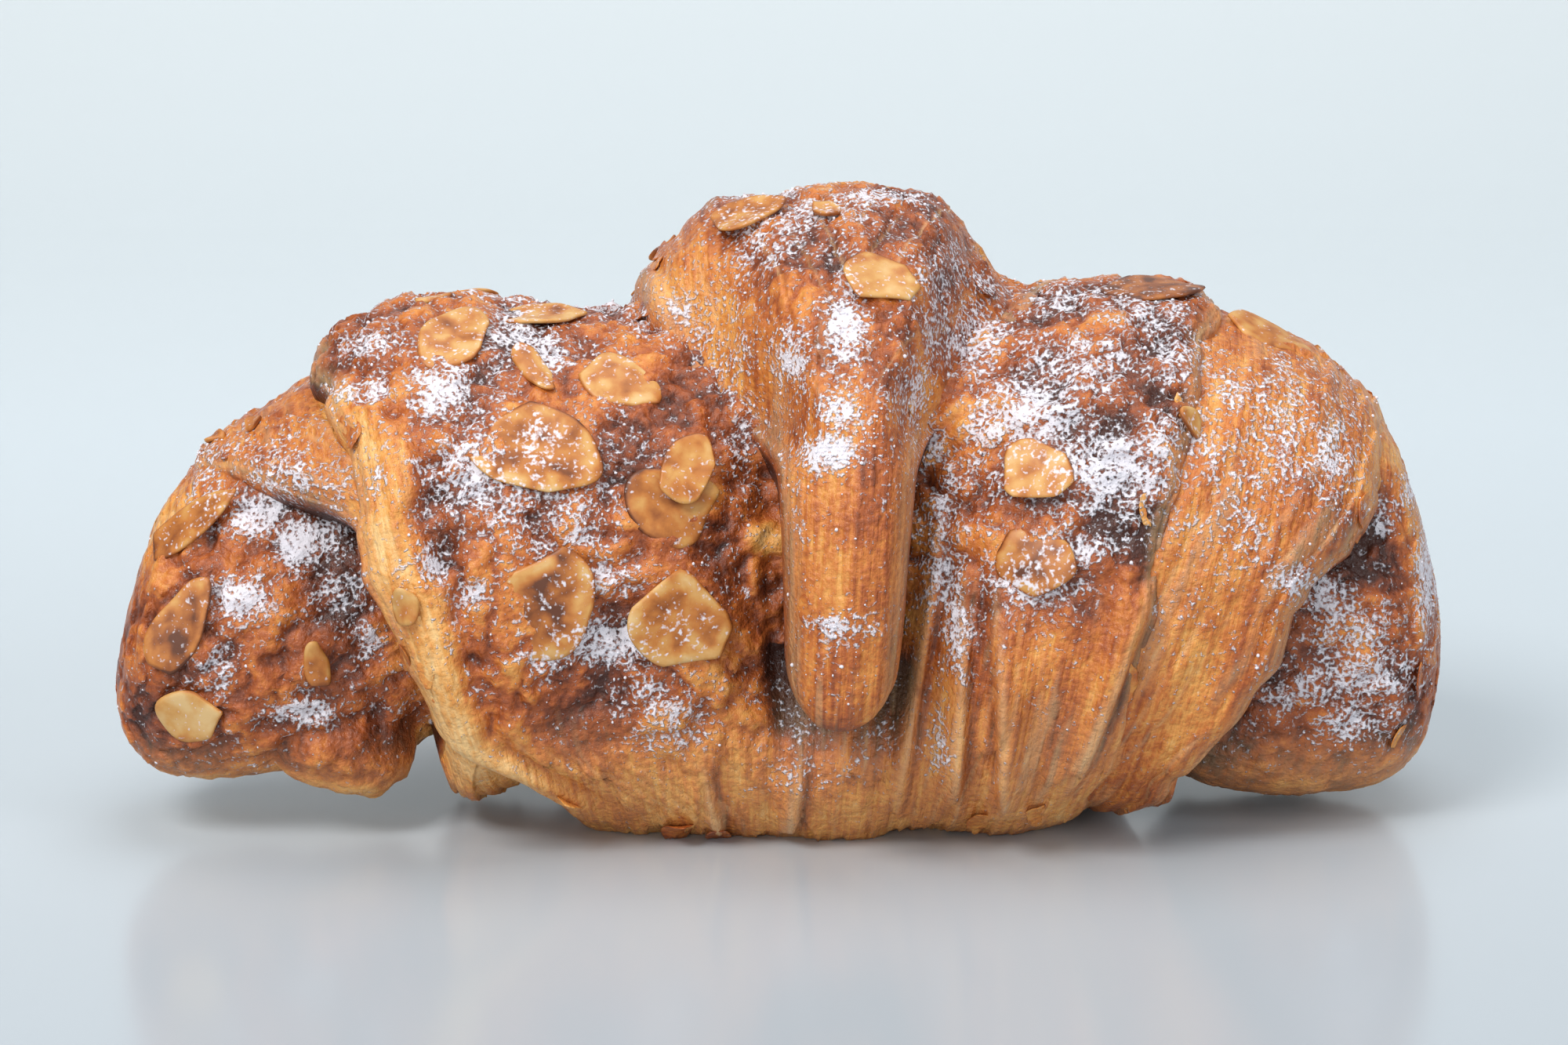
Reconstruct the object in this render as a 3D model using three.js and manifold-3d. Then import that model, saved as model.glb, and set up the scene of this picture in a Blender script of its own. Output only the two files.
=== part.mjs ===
// Almond croissant: a dough triangle rolled into a fat spindle, its tip lying down the front as a tongue,
// with flaked almonds baked onto the crust.
import * as THREE from 'three';
import { mergeVertices } from 'three/addons/utils/BufferGeometryUtils.js';
import Module from 'manifold-3d';

const wasm = await Module();
wasm.setup();
const { sin, cos, sqrt, abs, min, max, floor, PI } = Math;
const RAD = PI / 180;
const TURN = 360;

// Axes: +X along the roll, +Z up, the tongue faces -Y, and the base lies at z = 0.
// u is the station along the roll, in mm. roll is the angle along the rolled dough, in degrees: from the
// top over the back, under the base and up the front again, one turn of the dough every 360 degrees.

// Driving dimensions of the roll, in mm and as plain ratios
const LEFT_END = -83.2;
const RIGHT_END = 84.8;
const TIP_BLUNT = 10;
const TIP_POWER = 2.6;
const TONGUE_U = 8.4;
const TONGUE_TIP_DROP = 9;
const TIP_NARROW = 0.5;
const VALLEY_WIDTH = 7;
const CORE_FIT = 0.97;
const RIM_FIT = 0.97;
const WRAP_ROOT = 0.5;
const DEPTH_RATIO = 1.02;
const BASE_SQUARENESS = 2.5;
const DOME_POWER = 1.9;
const FLANK_START = 0.5;
const FLANK_SOFT = 0.75;
const FLANK_SINK = 1.25;

// Driving angles along the dough, in degrees: the tongue's tip, where the dough passes under that tip,
// the rounding of the tip, and how far a wrap's ends tuck into the next wrap
const TONGUE_TIP = -113;
const COVER = 248;
const TIP_ROUND = 9;
const TIP_ROLL_IN = 8;
const TUCK_ANGLE = 6;
const TUCK_DEPTH = 1.5;

// The roll's middle line, the tilt of its sections and the stretch of its underside, by station
const AXIS_HEIGHT = curve([[-84, 18.5], [-74, 23], [-66, 26], [-58, 29], [-36, 34.5], [0, 35], [40, 34.5],
  [58, 32], [70, 28], [84, 22]]);
const AXIS_BEND = curve([[-80, -10], [-40, -2], [0, 0], [80, 0]]);
const SECTION_TILT = curve([[-84, 4], [-72, -10], [-60, -20], [-36, -12], [0, 0], [40, 11], [60, 14],
  [84, -2]]);
const UNDERSIDE = curve([[-84, 0.88], [-74, 0.93], [-66, 1], [-58, 1.18], [-48, 1.1], [-38, 1.04],
  [-24, 1.11], [10, 1.14], [24, 1.04], [40, 1.03], [52, 1.04], [60, 1.26], [68, 1.24], [76, 1.12],
  [84, 1.02]]);

// Radius of the middle wrap, the inner wrap and the core, by station
const MIDDLE_RADIUS = curve([[-68, 25], [-56, 30], [-38, 35], [-22, 33], [-6, 32.5], [20, 33.5], [34, 36.2],
  [46, 35], [60, 30]]);
const INNER_RADIUS = curve([[-84, 17], [-74, 21], [-64, 25], [-36, 29], [-18, 26], [8, 22], [28, 27],
  [44, 33], [58, 31.5], [70, 27], [84, 22]]);
const CORE_RADIUS = curve([[-84, 14.5], [-76, 18], [-68, 20.5], [-36, 22], [8, 18], [52, 25], [70, 23],
  [84, 19]]);
const LAYER_RADII = [MIDDLE_RADIUS, INNER_RADIUS, CORE_RADIUS];

// Rise of the tongue and dome over the middle wrap, how far it sinks to its sides, where its sides run out
// into the lobes, the depth of the valley beside it, and the width and drop of an edge's rounding, by roll
const DOME_RISE = curve([[-111, 9.5], [-90, 10], [-45, 10.5], [0, 12.5], [90, 8], [180, 4], [248, 0]]);
const DOME_CROWN = curve([[-111, 0.3], [-45, 0.3], [-25, 0.45], [-6, 0.85]]);
const LEFT_FLANK = curve([[-66, 0], [-48, 1], [-26, 1], [-8, 0]]);
const RIGHT_FLANK = curve([[-66, 0], [-48, 1], [20, 1], [60, 0]]);
const VALLEY_DEPTH = curve([[-134, 0], [-118, 4.5], [-62, 4.5], [-46, 1], [-25, 0]]);
const LIP_WIDTH = curve([[-111, 3], [-62, 4.5], [-25, 8], [0, 11], [150, 10], [248, 5], [800, 4]]);
const LIP_DROP = curve([[-111, 7], [-62, 6.5], [-25, 6], [0, 6.5], [170, 5], [200, 6], [285, 6], [310, 4.5],
  [360, 5], [600, 5], [640, 3.5], [720, 3.5], [800, 5]]);

// Each wrap of dough: the roll angles it spans and how far its edges reach left and right of the tongue
const OUTER_WRAP = {
  from: TONGUE_TIP, to: 180, rows: 64, columns: 12, lipColumns: 3,
  left: curve([[-111, 7.2], [-67, 8.2], [-52, 11], [-40, 16.5], [-28, 21], [0, 25], [90, 30], [180, 41]]),
  right: curve([[-111, 7], [-67, 7.2], [-52, 9], [-40, 12], [-22, 16.5], [0, 20.5], [90, 25], [180, 33]]),
};
const MIDDLE_WRAP = {
  from: 180, to: 540, rows: 60, columns: 24, lipColumns: 3,
  left: curve([[180, 41], [216, 48], [236, 52.5], [300, 53.5], [326, 57], [345, 59], [450, 59], [540, 58]]),
  right: curve([[180, 33], [216, 37], [270, 37.5], [316, 38.5], [360, 40], [450, 42], [540, 44]]),
};
const INNER_WRAP = {
  from: 540, to: 800, rows: 44, columns: 30, lipColumns: 3,
  left: curve([[540, 58], [596, 55.5], [630, 55], [651, 58], [676, 66], [701, 74], [720, 79], [800, 80]]),
  right: curve([[540, 44], [576, 46], [596, 50], [630, 56], [676, 63], [720, 66], [800, 70]]),
};
const WRAPS = [OUTER_WRAP, MIDDLE_WRAP, INNER_WRAP];
const CORE_ROWS = 40;
const CORE_COLUMNS = 42;
const END_INSET = 0.3;
const TIP_CROWDING = 1.3;

// The tips: over the top a rim carries the inner wrap's height on towards each end, by station. In front a
// mouth dips along the inner wrap's edge, and a knob of filling bulges under the left tip.
const LEFT_RIM = curve([[-82, 0], [-71, 1], [-60, 1]]);
const RIGHT_RIM = curve([[60, 1], [73, 1], [83, 0]]);
const RIM_CLOCKS = [298, 338, 60, 120];
const MOUTH_DEPTH = 4;
const MOUTH_WIDTH = 9;
const MOUTH_CLOCKS = [300, 330];
const FILLING = { station: -59, clock: 216, size: 7.5, rise: 3.5 };

// Relief of the crust, in mm: its crags, rougher on some wraps, and the streaks that follow the rolling
const CRAG_DEPTH = 1;
const CRAG_SIZE = 7.5;
const CRAG_SHARE = curve([[-111, 0.3], [120, 0.5], [240, 1], [420, 1], [600, 0.4], [800, 0.6]]);
const STREAK_DEPTH = 0.6;
const STREAK_SIZE = 5.5;
const STREAK_LENGTH = 45;
const MEAN_RADIUS = 34;

// Pleats low on the front, right of the tongue
const PLEAT_STATIONS = [18.5, 24.5, 30.5];
const PLEAT_DEPTH = 1.8;
const PLEAT_WIDTH = 1.9;
const PLEAT_SHARE = curve([[222, 0], [238, 1], [266, 1], [286, 0]]);

// Flaked almonds: station, clock angle, length, width and turn from the roll's axis.
// The clock angle is the roll angle within one turn: 0 top, 90 back, 180 base, 270 front.
const FRONT_SLICES = [
  [-33.5, 335, 13, 8, 62], [-24.5, 349, 11, 7, 5], [-16.5, 322, 10.5, 8, -25], [-25.5, 325, 9, 4, -60],
  [-26, 303, 16, 12, -25], [-11.5, 290, 11.5, 10.5, 20], [-28, 269, 15, 12.5, 60],
  [-11, 264, 14.5, 11.5, -20],
  [-68.5, 322, 14, 5, -8], [-72, 288, 13, 6.5, 36], [-73, 250, 8.5, 7.5, 10], [10.8, 329, 10, 9, -15],
  [-2.8, 352, 10, 8, 15], [29, 297, 9.5, 8.5, 5], [30, 278, 10.5, 8, 0], [40.5, 354, 14, 9, 8],
  [55, 353, 12, 8, -10],
];
const BACK_SLICES = [
  [14, 20, 13, 9, 30], [-4, 42, 14, 10, -35], [20, 66, 12, 9, 70], [2, 96, 15, 11, 10], [-12, 78, 10, 8, -60],
  [12, 124, 12, 9.5, 45], [-36, 26, 13, 9, -15], [-34, 62, 15, 10.5, 55], [-40, 104, 11, 8, 0],
  [40, 40, 12, 9, -50], [38, 86, 14, 10, 20], [-60, 58, 11, 7.5, 25], [-70, 108, 10, 8, -40],
  [62, 48, 13, 9, 65], [71, 112, 9.5, 8, 0],
];
const STACKED_SLICE = [-10, 298, 9, 7, 70];
const SLICE_THICKNESS = 1.2;
const SLICE_GAP = 0.4;
const SLICE_SIDES = 12;
const ALMOND_POINT = 0.22;

// Broken almond bits fused to the crust: a few in front, placed as slices are, and the others spread by a
// seeded rule over the top and back
const FRONT_BITS = [[-58, 258, 6.5, 3.5, 85], [46, 310, 5, 3.2, -20], [-44, 272, 5, 4, 80]];
const BIT_COUNT = 28;
const BIT_LENGTHS = [3, 5.5];
const BIT_SIDES = 6;
const BIT_SUNK = 3.5;
const BIT_PROUD = 0.5;
const BIT_CLEARANCE = 2.5;
const BIT_STATIONS = [-70, 70];
const BIT_CLOCKS = [-20, 125];
const BIT_SHAPE = 0.7;

// Numbers of the repeatable random rule
const WAVE_A = 127.1;
const WAVE_B = 311.7;
const WAVE_GAIN = 43758.5453;

function clamp(t) {
  return min(max(t, 0), 1);
}

function fade(low, high, at) {
  const t = clamp((at - low) / (high - low));
  return t * t * (3 - 2 * t);
}

// Smooth curve through hand-chosen knots that never swings past them
function curve(knots) {
  const slope = (i) => (knots[i + 1][1] - knots[i][1]) / (knots[i + 1][0] - knots[i][0]);
  const last = knots.length - 1;
  const tangents = knots.map((knot, i) => {
    if (i === 0) return slope(0);
    if (i === last) return slope(last - 1);
    const product = slope(i - 1) * slope(i);
    return product > 0 ? (2 * product) / (slope(i - 1) + slope(i)) : 0;
  });
  return (x) => {
    if (x <= knots[0][0]) return knots[0][1];
    if (x >= knots[last][0]) return knots[last][1];
    const i = knots.findIndex((knot) => x < knot[0]) - 1;
    const span = knots[i + 1][0] - knots[i][0];
    const t = (x - knots[i][0]) / span;
    const rise = t * t * (3 - 2 * t);
    const lead = t * (1 - t) ** 2 * span * tangents[i];
    const trail = t * t * (t - 1) * span * tangents[i + 1];
    return knots[i][1] * (1 - rise) + knots[i + 1][1] * rise + lead + trail;
  };
}

// Repeatable random number from 0 to 1 for a pair of whole numbers
function draw(i, j) {
  const wave = sin(i * WAVE_A + j * WAVE_B) * WAVE_GAIN;
  return wave - floor(wave);
}

function noise(x, y) {
  const i = floor(x);
  const j = floor(y);
  const s = (x - i) ** 2 * (3 - 2 * (x - i));
  const t = (y - j) ** 2 * (3 - 2 * (y - j));
  const low = draw(i, j) * (1 - s) + draw(i + 1, j) * s;
  const high = draw(i, j + 1) * (1 - s) + draw(i + 1, j + 1) * s;
  return low * (1 - t) + high * t;
}

// Point of the roll at a station, a roll angle and a radius; the lower half is squarer, as it sat on a tray
function rollPoint(u, roll, radius) {
  const tilt = SECTION_TILT(u) * RAD;
  let lift = cos(roll * RAD);
  let front = -sin(roll * RAD);
  if (lift < 0) {
    const square = (abs(lift) ** BASE_SQUARENESS + abs(front) ** BASE_SQUARENESS) ** (-1 / BASE_SQUARENESS);
    front *= square;
    lift *= square * UNDERSIDE(u);
  }
  const x = u + radius * lift * sin(tilt);
  const y = AXIS_BEND(u) - radius * front * DEPTH_RATIO;
  const z = AXIS_HEIGHT(u) + radius * lift * cos(tilt);
  return new THREE.Vector3(x, y, z);
}

function reliefDepth(u, roll) {
  const along = roll * RAD * MEAN_RADIUS;
  const crags = CRAG_DEPTH * CRAG_SHARE(roll) * noise(u / CRAG_SIZE, along / CRAG_SIZE);
  const streaks = STREAK_DEPTH * noise(u / STREAK_SIZE, along / STREAK_LENGTH);
  const nearness = PLEAT_STATIONS.map((station) => Math.exp(-(((u - station) / PLEAT_WIDTH) ** 2)));
  return crags + streaks + PLEAT_DEPTH * PLEAT_SHARE(roll) * max(...nearness);
}

// Radius of the core: its tips end bluntly, and a rim runs over their top
function coreRadius(u, clock) {
  const past = max(LEFT_END + TIP_BLUNT - u, u - RIGHT_END + TIP_BLUNT, 0) / TIP_BLUNT;
  const blunt = sqrt(1 - min(past, 1) ** TIP_POWER);
  const [frontLow, frontHigh, backHigh, backLow] = RIM_CLOCKS;
  const over = clock > TURN / 2 ? fade(frontLow, frontHigh, clock) : fade(backLow, backHigh, clock);
  const rim = over * (u < 0 ? LEFT_RIM(u) : RIGHT_RIM(u));
  return CORE_FIT * (CORE_RADIUS(u) + (RIM_FIT * INNER_RADIUS(u) - CORE_RADIUS(u)) * rim) * blunt;
}

// Depth of the mouths in front and of the filling's knob, which counts below zero
function tipDepth(u, clock) {
  const roll = min(max(clock > TURN / 2 ? clock + TURN : clock + 2 * TURN, INNER_WRAP.from), INNER_WRAP.to);
  const beyond = max(abs(u - TONGUE_U) - reach(INNER_WRAP, roll, u < TONGUE_U ? -1 : 1), 0);
  const front = clock > TURN / 2 ? fade(MOUTH_CLOCKS[1], MOUTH_CLOCKS[0], clock) : 0;
  const arc = (clock - FILLING.clock) * RAD * CORE_RADIUS(u);
  const aside = Math.hypot(u - FILLING.station, arc) / FILLING.size;
  const knob = FILLING.rise * sqrt(max(1 - aside * aside, 0));
  return MOUTH_DEPTH * front * Math.exp(-((beyond / MOUTH_WIDTH) ** 2)) - knob;
}

function reach(wrap, roll, side) {
  const width = side < 0 ? wrap.left(roll) : wrap.right(roll);
  const t = TIP_NARROW * (1 - clamp((roll - TONGUE_TIP) / TIP_ROUND));
  return width * sqrt(1 - t * t);
}

// Dip of the lobes beside the tongue and under its tip
function valleyDepth(u, roll) {
  const over = roll - TURN;
  const short = max(TONGUE_TIP - over, 0) * RAD * MEAN_RADIUS;
  const width = reach(OUTER_WRAP, max(over, TONGUE_TIP + TIP_ROUND), u < TONGUE_U ? -1 : 1);
  const aside = max(abs(u - TONGUE_U) - width, 0);
  return VALLEY_DEPTH(over) * Math.exp(-(aside ** 2 + short ** 2) / VALLEY_WIDTH ** 2);
}

// Where the dome's sides run out into the lobes, from 0 to 1
function domeFlank(u, roll) {
  return u < TONGUE_U ? LEFT_FLANK(roll) : RIGHT_FLANK(roll);
}

// Smooth outer radius of a wrap: the spiral between the layers, the dome's rise and the rounded edges
function wrapRadius(wrap, u, roll) {
  const turn = min(max((roll - COVER) / TURN, 0), LAYER_RADII.length - 1.001);
  const layer = floor(turn);
  const outer = LAYER_RADII[layer](u);
  const inner = LAYER_RADII[layer + 1](u);
  const side = u < TONGUE_U ? -1 : 1;
  const width = reach(wrap, roll, side);
  const across = min(abs(u - TONGUE_U) / width, 1);
  const flank = domeFlank(u, roll);
  const crown = 1 - DOME_CROWN(roll) * across ** DOME_POWER;
  const sunk = FLANK_SINK * flank * fade(FLANK_START, 1, across);
  const rise = roll < COVER ? DOME_RISE(roll) * crown * (1 - sunk) : 0;
  const valley = wrap === MIDDLE_WRAP ? valleyDepth(u, roll) : 0;
  const lip = min(LIP_WIDTH(roll), width);
  const edge = clamp((abs(u - TONGUE_U) - width + lip) / lip);
  const tip = clamp(1 - (roll - TONGUE_TIP) / TIP_ROLL_IN);
  const tuck = max(wrap.from - roll, roll - wrap.to, 0) / TUCK_ANGLE;
  const drop = LIP_DROP(roll) * (1 - FLANK_SOFT * flank);
  const fall = drop * (1 - sqrt(1 - edge * edge)) + TONGUE_TIP_DROP * (1 - sqrt(1 - tip * tip));
  return outer + (inner - outer) * (turn - layer) + rise - valley - fall - TUCK_DEPTH * tuck;
}

// Closed body from loops of equally many points, with a pole at each end
function loopGeometry(loops, firstPole, lastPole) {
  const size = loops[0].length;
  const points = [...loops.flat(), firstPole, lastPole];
  const faces = [];
  loops.forEach((loop, row) => {
    loop.forEach((point, i) => {
      const next = (i + 1) % size;
      const here = row * size;
      if (row === 0) faces.push(points.length - 2, i, next);
      if (row === loops.length - 1) faces.push(points.length - 1, here + next, here + i);
      else {
        faces.push(here + i, here + size + i, here + next);
        faces.push(here + next, here + size + i, here + size + next);
      }
    });
  });
  const geometry = new THREE.BufferGeometry().setFromPoints(points);
  geometry.setIndex(volumeOf(points, faces) > 0 ? faces : faces.reverse());
  return geometry;
}

function volumeOf(points, faces) {
  let sum = 0;
  for (let i = 0; i < faces.length; i += 3) {
    const [a, b, c] = [points[faces[i]], points[faces[i + 1]], points[faces[i + 2]]];
    sum += a.dot(b.clone().cross(c)) / 6;
  }
  return sum;
}

function middleOf(points) {
  const sum = points.reduce((total, point) => total.add(point), new THREE.Vector3());
  return sum.divideScalar(points.length);
}

// Stations across a wrap at one roll angle, closer together in the rounded edges
function stationsAcross(wrap, roll) {
  const left = reach(wrap, roll, -1);
  const right = reach(wrap, roll, 1);
  const lip = min(LIP_WIDTH(roll), left, right);
  const between = left + right - 2 * lip;
  const stations = [];
  for (let i = 0; i < wrap.lipColumns; i += 1) stations.push(-left + lip * (i / wrap.lipColumns));
  for (let i = 0; i <= wrap.columns; i += 1) stations.push(lip - left + between * (i / wrap.columns));
  for (let i = wrap.lipColumns - 1; i >= 0; i -= 1) stations.push(right - lip * (i / wrap.lipColumns));
  return stations.map((station) => TONGUE_U + station);
}

// One wrap as a solid that reaches down into the core, so that the loaf has no hollow; its rows lie closer
// together at the tongue's tip
function wrapGeometry(wrap) {
  const crowding = wrap === OUTER_WRAP ? TIP_CROWDING : 1;
  const start = wrap === OUTER_WRAP ? wrap.from + END_INSET : wrap.from - TUCK_ANGLE;
  const end = wrap.to + TUCK_ANGLE;
  const loops = [];
  for (let row = 0; row <= wrap.rows; row += 1) {
    const roll = start + (end - start) * (row / wrap.rows) ** crowding;
    const stations = stationsAcross(wrap, roll);
    const crust = stations.map((u) => rollPoint(u, roll, wrapRadius(wrap, u, roll) - reliefDepth(u, roll)));
    const root = stations.reverse().map((u) => rollPoint(u, roll, WRAP_ROOT * CORE_RADIUS(u)));
    loops.push([...crust, ...root]);
  }
  return loopGeometry(loops, middleOf(loops[0]), middleOf(loops[loops.length - 1]));
}

function coreGeometry() {
  const loops = [];
  for (let row = 0; row <= CORE_ROWS; row += 1) {
    const half = (RIGHT_END - LEFT_END) / 2 - END_INSET;
    const u = (LEFT_END + RIGHT_END) / 2 - half * cos(PI * (row / CORE_ROWS));
    const loop = [];
    for (let i = 0; i < CORE_COLUMNS; i += 1) {
      const clock = TURN * (i / CORE_COLUMNS);
      const smooth = coreRadius(u, clock);
      const deep = reliefDepth(u, clock > COVER ? clock : clock + TURN) + tipDepth(u, clock);
      loop.push(rollPoint(u, clock, max(smooth - deep * fade(0, MOUTH_DEPTH, smooth), END_INSET)));
    }
    loops.push(loop);
  }
  return loopGeometry(loops, middleOf(loops[0]), middleOf(loops[CORE_ROWS]));
}

// Radius of the crust as it is seen at a station and clock angle, before its relief
function crustRadius(u, clock) {
  const side = u < TONGUE_U ? -1 : 1;
  let radius = coreRadius(u, ((clock % TURN) + TURN) % TURN);
  for (const wrap of WRAPS) {
    for (let roll = clock - TURN; roll <= wrap.to; roll += TURN) {
      const inside = roll >= wrap.from && abs(u - TONGUE_U) < reach(wrap, roll, side);
      if (inside) radius = max(radius, wrapRadius(wrap, u, roll));
    }
  }
  return radius;
}

// Thin almond flake that follows the crust, with one end more pointed, from below to above the crust
function flakeGeometry([station, clock, length, width, turn], sides, below, above) {
  const middle = crustRadius(station, clock);
  const place = (along, across, lift) => {
    const u = station + along * cos(turn * RAD) - across * sin(turn * RAD);
    const arc = along * sin(turn * RAD) + across * cos(turn * RAD);
    const angle = clock + arc / (middle * RAD);
    return rollPoint(u, angle, crustRadius(u, angle) + lift);
  };
  const ring = (lift) => Array.from({ length: sides }, (_, i) => {
    const angle = 2 * PI * (i / sides);
    const taper = 1 - ALMOND_POINT * cos(angle);
    return place((length / 2) * cos(angle), (width / 2) * sin(angle) * taper, lift);
  });
  return loopGeometry([ring(below), ring(above)], place(0, 0, below), place(0, 0, above));
}

function sliceGeometry(slice, stacked) {
  const below = SLICE_GAP + (stacked ? SLICE_THICKNESS + SLICE_GAP : 0);
  return flakeGeometry(slice, SLICE_SIDES, below, below + SLICE_THICKNESS);
}

// Places for the broken bits: random draws, kept clear of the whole slices and of each other
function bitPlaces() {
  const centre = ([u, clock]) => rollPoint(u, clock, crustRadius(u, clock));
  const flakes = [...FRONT_SLICES, ...BACK_SLICES, ...FRONT_BITS];
  const taken = flakes.map((flake) => ({ at: centre(flake), size: flake[2] / 2 }));
  const pick = ([low, high], share) => low + (high - low) * share;
  const places = [...FRONT_BITS];
  for (let i = 1; places.length < FRONT_BITS.length + BIT_COUNT; i += 1) {
    const length = pick(BIT_LENGTHS, draw(i, 1));
    const place = [pick(BIT_STATIONS, draw(i, 2)), pick(BIT_CLOCKS, draw(i, 3)), length, length * BIT_SHAPE,
      TURN * draw(i, 4)];
    const at = centre(place);
    if (taken.every((other) => other.at.distanceTo(at) > other.size + length / 2 + BIT_CLEARANCE)) {
      places.push(place);
      taken.push({ at, size: length / 2 });
    }
  }
  return places;
}

function solidOf(geometry) {
  geometry.deleteAttribute('normal');
  geometry.deleteAttribute('uv');
  const merged = mergeVertices(geometry);
  const vertProperties = new Float32Array(merged.attributes.position.array);
  const triVerts = new Uint32Array(merged.index.array);
  return new wasm.Manifold(new wasm.Mesh({ numProp: 3, vertProperties, triVerts }));
}

function geometryOf(solid) {
  const { vertProperties, triVerts } = solid.getMesh();
  const geometry = new THREE.BufferGeometry();
  geometry.setAttribute('position', new THREE.BufferAttribute(vertProperties, 3));
  geometry.setIndex(new THREE.BufferAttribute(triVerts, 1));
  return geometry;
}

// The largest body of a join, without loose scraps and with sealed hollows filled
function mainBody(solid) {
  return solid.decompose().reduce((best, body) => (body.volume() > best.volume() ? body : best));
}

// The whole loaf: core, wraps and broken bits joined, then cut flat where it sat on the tray
function loafGeometry() {
  const bits = bitPlaces().map((place) => flakeGeometry(place, BIT_SIDES, -BIT_SUNK, BIT_PROUD));
  const pieces = [coreGeometry(), ...WRAPS.map(wrapGeometry), ...bits];
  const loaf = pieces.map(solidOf).reduce((whole, piece) => whole.add(piece));
  const size = RIGHT_END - LEFT_END;
  const tray = new THREE.BoxGeometry(2 * size, 2 * size, size).translate(0, 0, -size / 2);
  return geometryOf(mainBody(loaf.subtract(solidOf(tray))));
}

const crust = new THREE.MeshStandardMaterial({ color: 0xb9763a, roughness: 0.6, metalness: 0 });
const almond = new THREE.MeshStandardMaterial({ color: 0xe3c08c, roughness: 0.5, metalness: 0 });

const croissant = new THREE.Group();

function addPiece(name, geometry, material) {
  geometry.computeVertexNormals();
  const mesh = new THREE.Mesh(geometry, material);
  mesh.name = name;
  croissant.add(mesh);
}

function addSlices(side, slices) {
  slices.forEach((slice, i) => {
    const number = String(i + 1).padStart(2, '0');
    addPiece(`almond_slice_${side}_${number}`, sliceGeometry(slice, slice === STACKED_SLICE), almond);
  });
}

addPiece('croissant', loafGeometry(), crust);
addSlices('front', [...FRONT_SLICES, STACKED_SLICE]);
addSlices('back', BACK_SLICES);

// The origin lies under the middle of the whole
const box = new THREE.Box3().setFromObject(croissant);
const middle = box.getCenter(new THREE.Vector3());
croissant.position.set(-middle.x, -middle.y, -box.min.z);

export default croissant;
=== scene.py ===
"""Almond croissant: rolled dough, blunt tips, flaked almonds and icing sugar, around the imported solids."""
import bmesh
import bpy
import numpy as np
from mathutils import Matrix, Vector


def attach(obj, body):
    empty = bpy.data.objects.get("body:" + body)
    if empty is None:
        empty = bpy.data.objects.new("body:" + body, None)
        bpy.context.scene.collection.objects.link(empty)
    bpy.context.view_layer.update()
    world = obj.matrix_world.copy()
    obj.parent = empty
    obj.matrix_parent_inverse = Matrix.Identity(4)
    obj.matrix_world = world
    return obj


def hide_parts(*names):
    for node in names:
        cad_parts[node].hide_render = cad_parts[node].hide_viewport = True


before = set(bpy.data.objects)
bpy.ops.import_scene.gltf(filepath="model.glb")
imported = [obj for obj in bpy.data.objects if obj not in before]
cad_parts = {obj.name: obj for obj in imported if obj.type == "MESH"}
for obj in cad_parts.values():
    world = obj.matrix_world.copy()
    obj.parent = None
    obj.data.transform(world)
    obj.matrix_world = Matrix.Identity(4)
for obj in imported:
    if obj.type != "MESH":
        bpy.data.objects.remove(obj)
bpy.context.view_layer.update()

# Lengths are in mm, angles in degrees, and meshes are written in metres.
# u is the station along the roll. roll is the angle along the rolled dough: from the top over the back,
# under the base and up the front, one turn every 360 degrees. clock is the roll angle within one turn.
MM = 0.001
RAD = np.pi / 180
TURN = 360.0
HALF_TURN = 180.0
TINY = 1e-6
LOAF_SHIFT = np.array([-0.82, 0.05, 0.0])

# Driving sizes of the roll: those of the solids, but a steeper tongue tip and dome flanks that dip sooner
LEFT_END = -83.2
RIGHT_END = 84.8
TIP_BLUNT = 10.0
TIP_POWER = 2.6
TONGUE_U = 8.4
TONGUE_TIP = -110.5
TONGUE_TIP_DROP = 5.0
COVER = 248.0
TIP_ROUND = 9.0
TIP_NARROW = 0.75
TIP_ROLL_IN = 8.0
CORE_FIT = 0.97
WRAP_ROOT = 0.5
DEPTH_RATIO = 1.02
BASE_SQUARENESS = 2.5
DOME_POWER = 1.9
MEAN_RADIUS = 34.0
END_INSET = 0.3
TUCK_ANGLE = 6.0
TUCK_DEPTH = 1.5
VALLEY_WIDTH = 7.0
FLANK_START = 0.35
FLANK_SOFT = 0.75
FLANK_SINK = 1.6
RIM_FIT = 0.97
RIM_FRONT = (298, 338)
RIM_BACK = (120, 60)


def curve(*knots):
    """Smooth curve through given knots that never swings past them."""
    x = np.array([k[0] for k in knots], float)
    y = np.array([k[1] for k in knots], float)
    span = np.diff(x)
    slope = np.diff(y) / span
    tangent = np.concatenate([slope[:1], np.zeros(len(x) - 2), slope[-1:]])
    product = slope[:-1] * slope[1:]
    rising = product > 0
    total = np.where(rising, slope[:-1] + slope[1:], 1.0)
    tangent[1:-1] = np.where(rising, 2 * product / total, 0.0)

    def value(at):
        at = np.clip(at, x[0], x[-1])
        i = np.clip(np.searchsorted(x, at, side="right") - 1, 0, len(x) - 2)
        t = (at - x[i]) / span[i]
        rise = t * t * (3 - 2 * t)
        lead = t * (1 - t) ** 2 * span[i] * tangent[i]
        trail = t * t * (t - 1) * span[i] * tangent[i + 1]
        return y[i] * (1 - rise) + y[i + 1] * rise + lead + trail
    return value


def fade(low, high, at):
    """Smooth step from 0 at low to 1 at high, where low may be the larger."""
    t = np.clip((at - low) / (high - low), 0, 1)
    return t * t * (3 - 2 * t)


def bell(x, width, y=0.0, height=1.0):
    """Soft bump of height 1 at 0, in one direction or two."""
    return np.exp(-(x / width) ** 2 - (y / height) ** 2)


def swing(noise, amount):
    """Noise from 0 to 1 as a swing to both sides of nothing."""
    return amount * (noise - 0.5)


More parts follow.
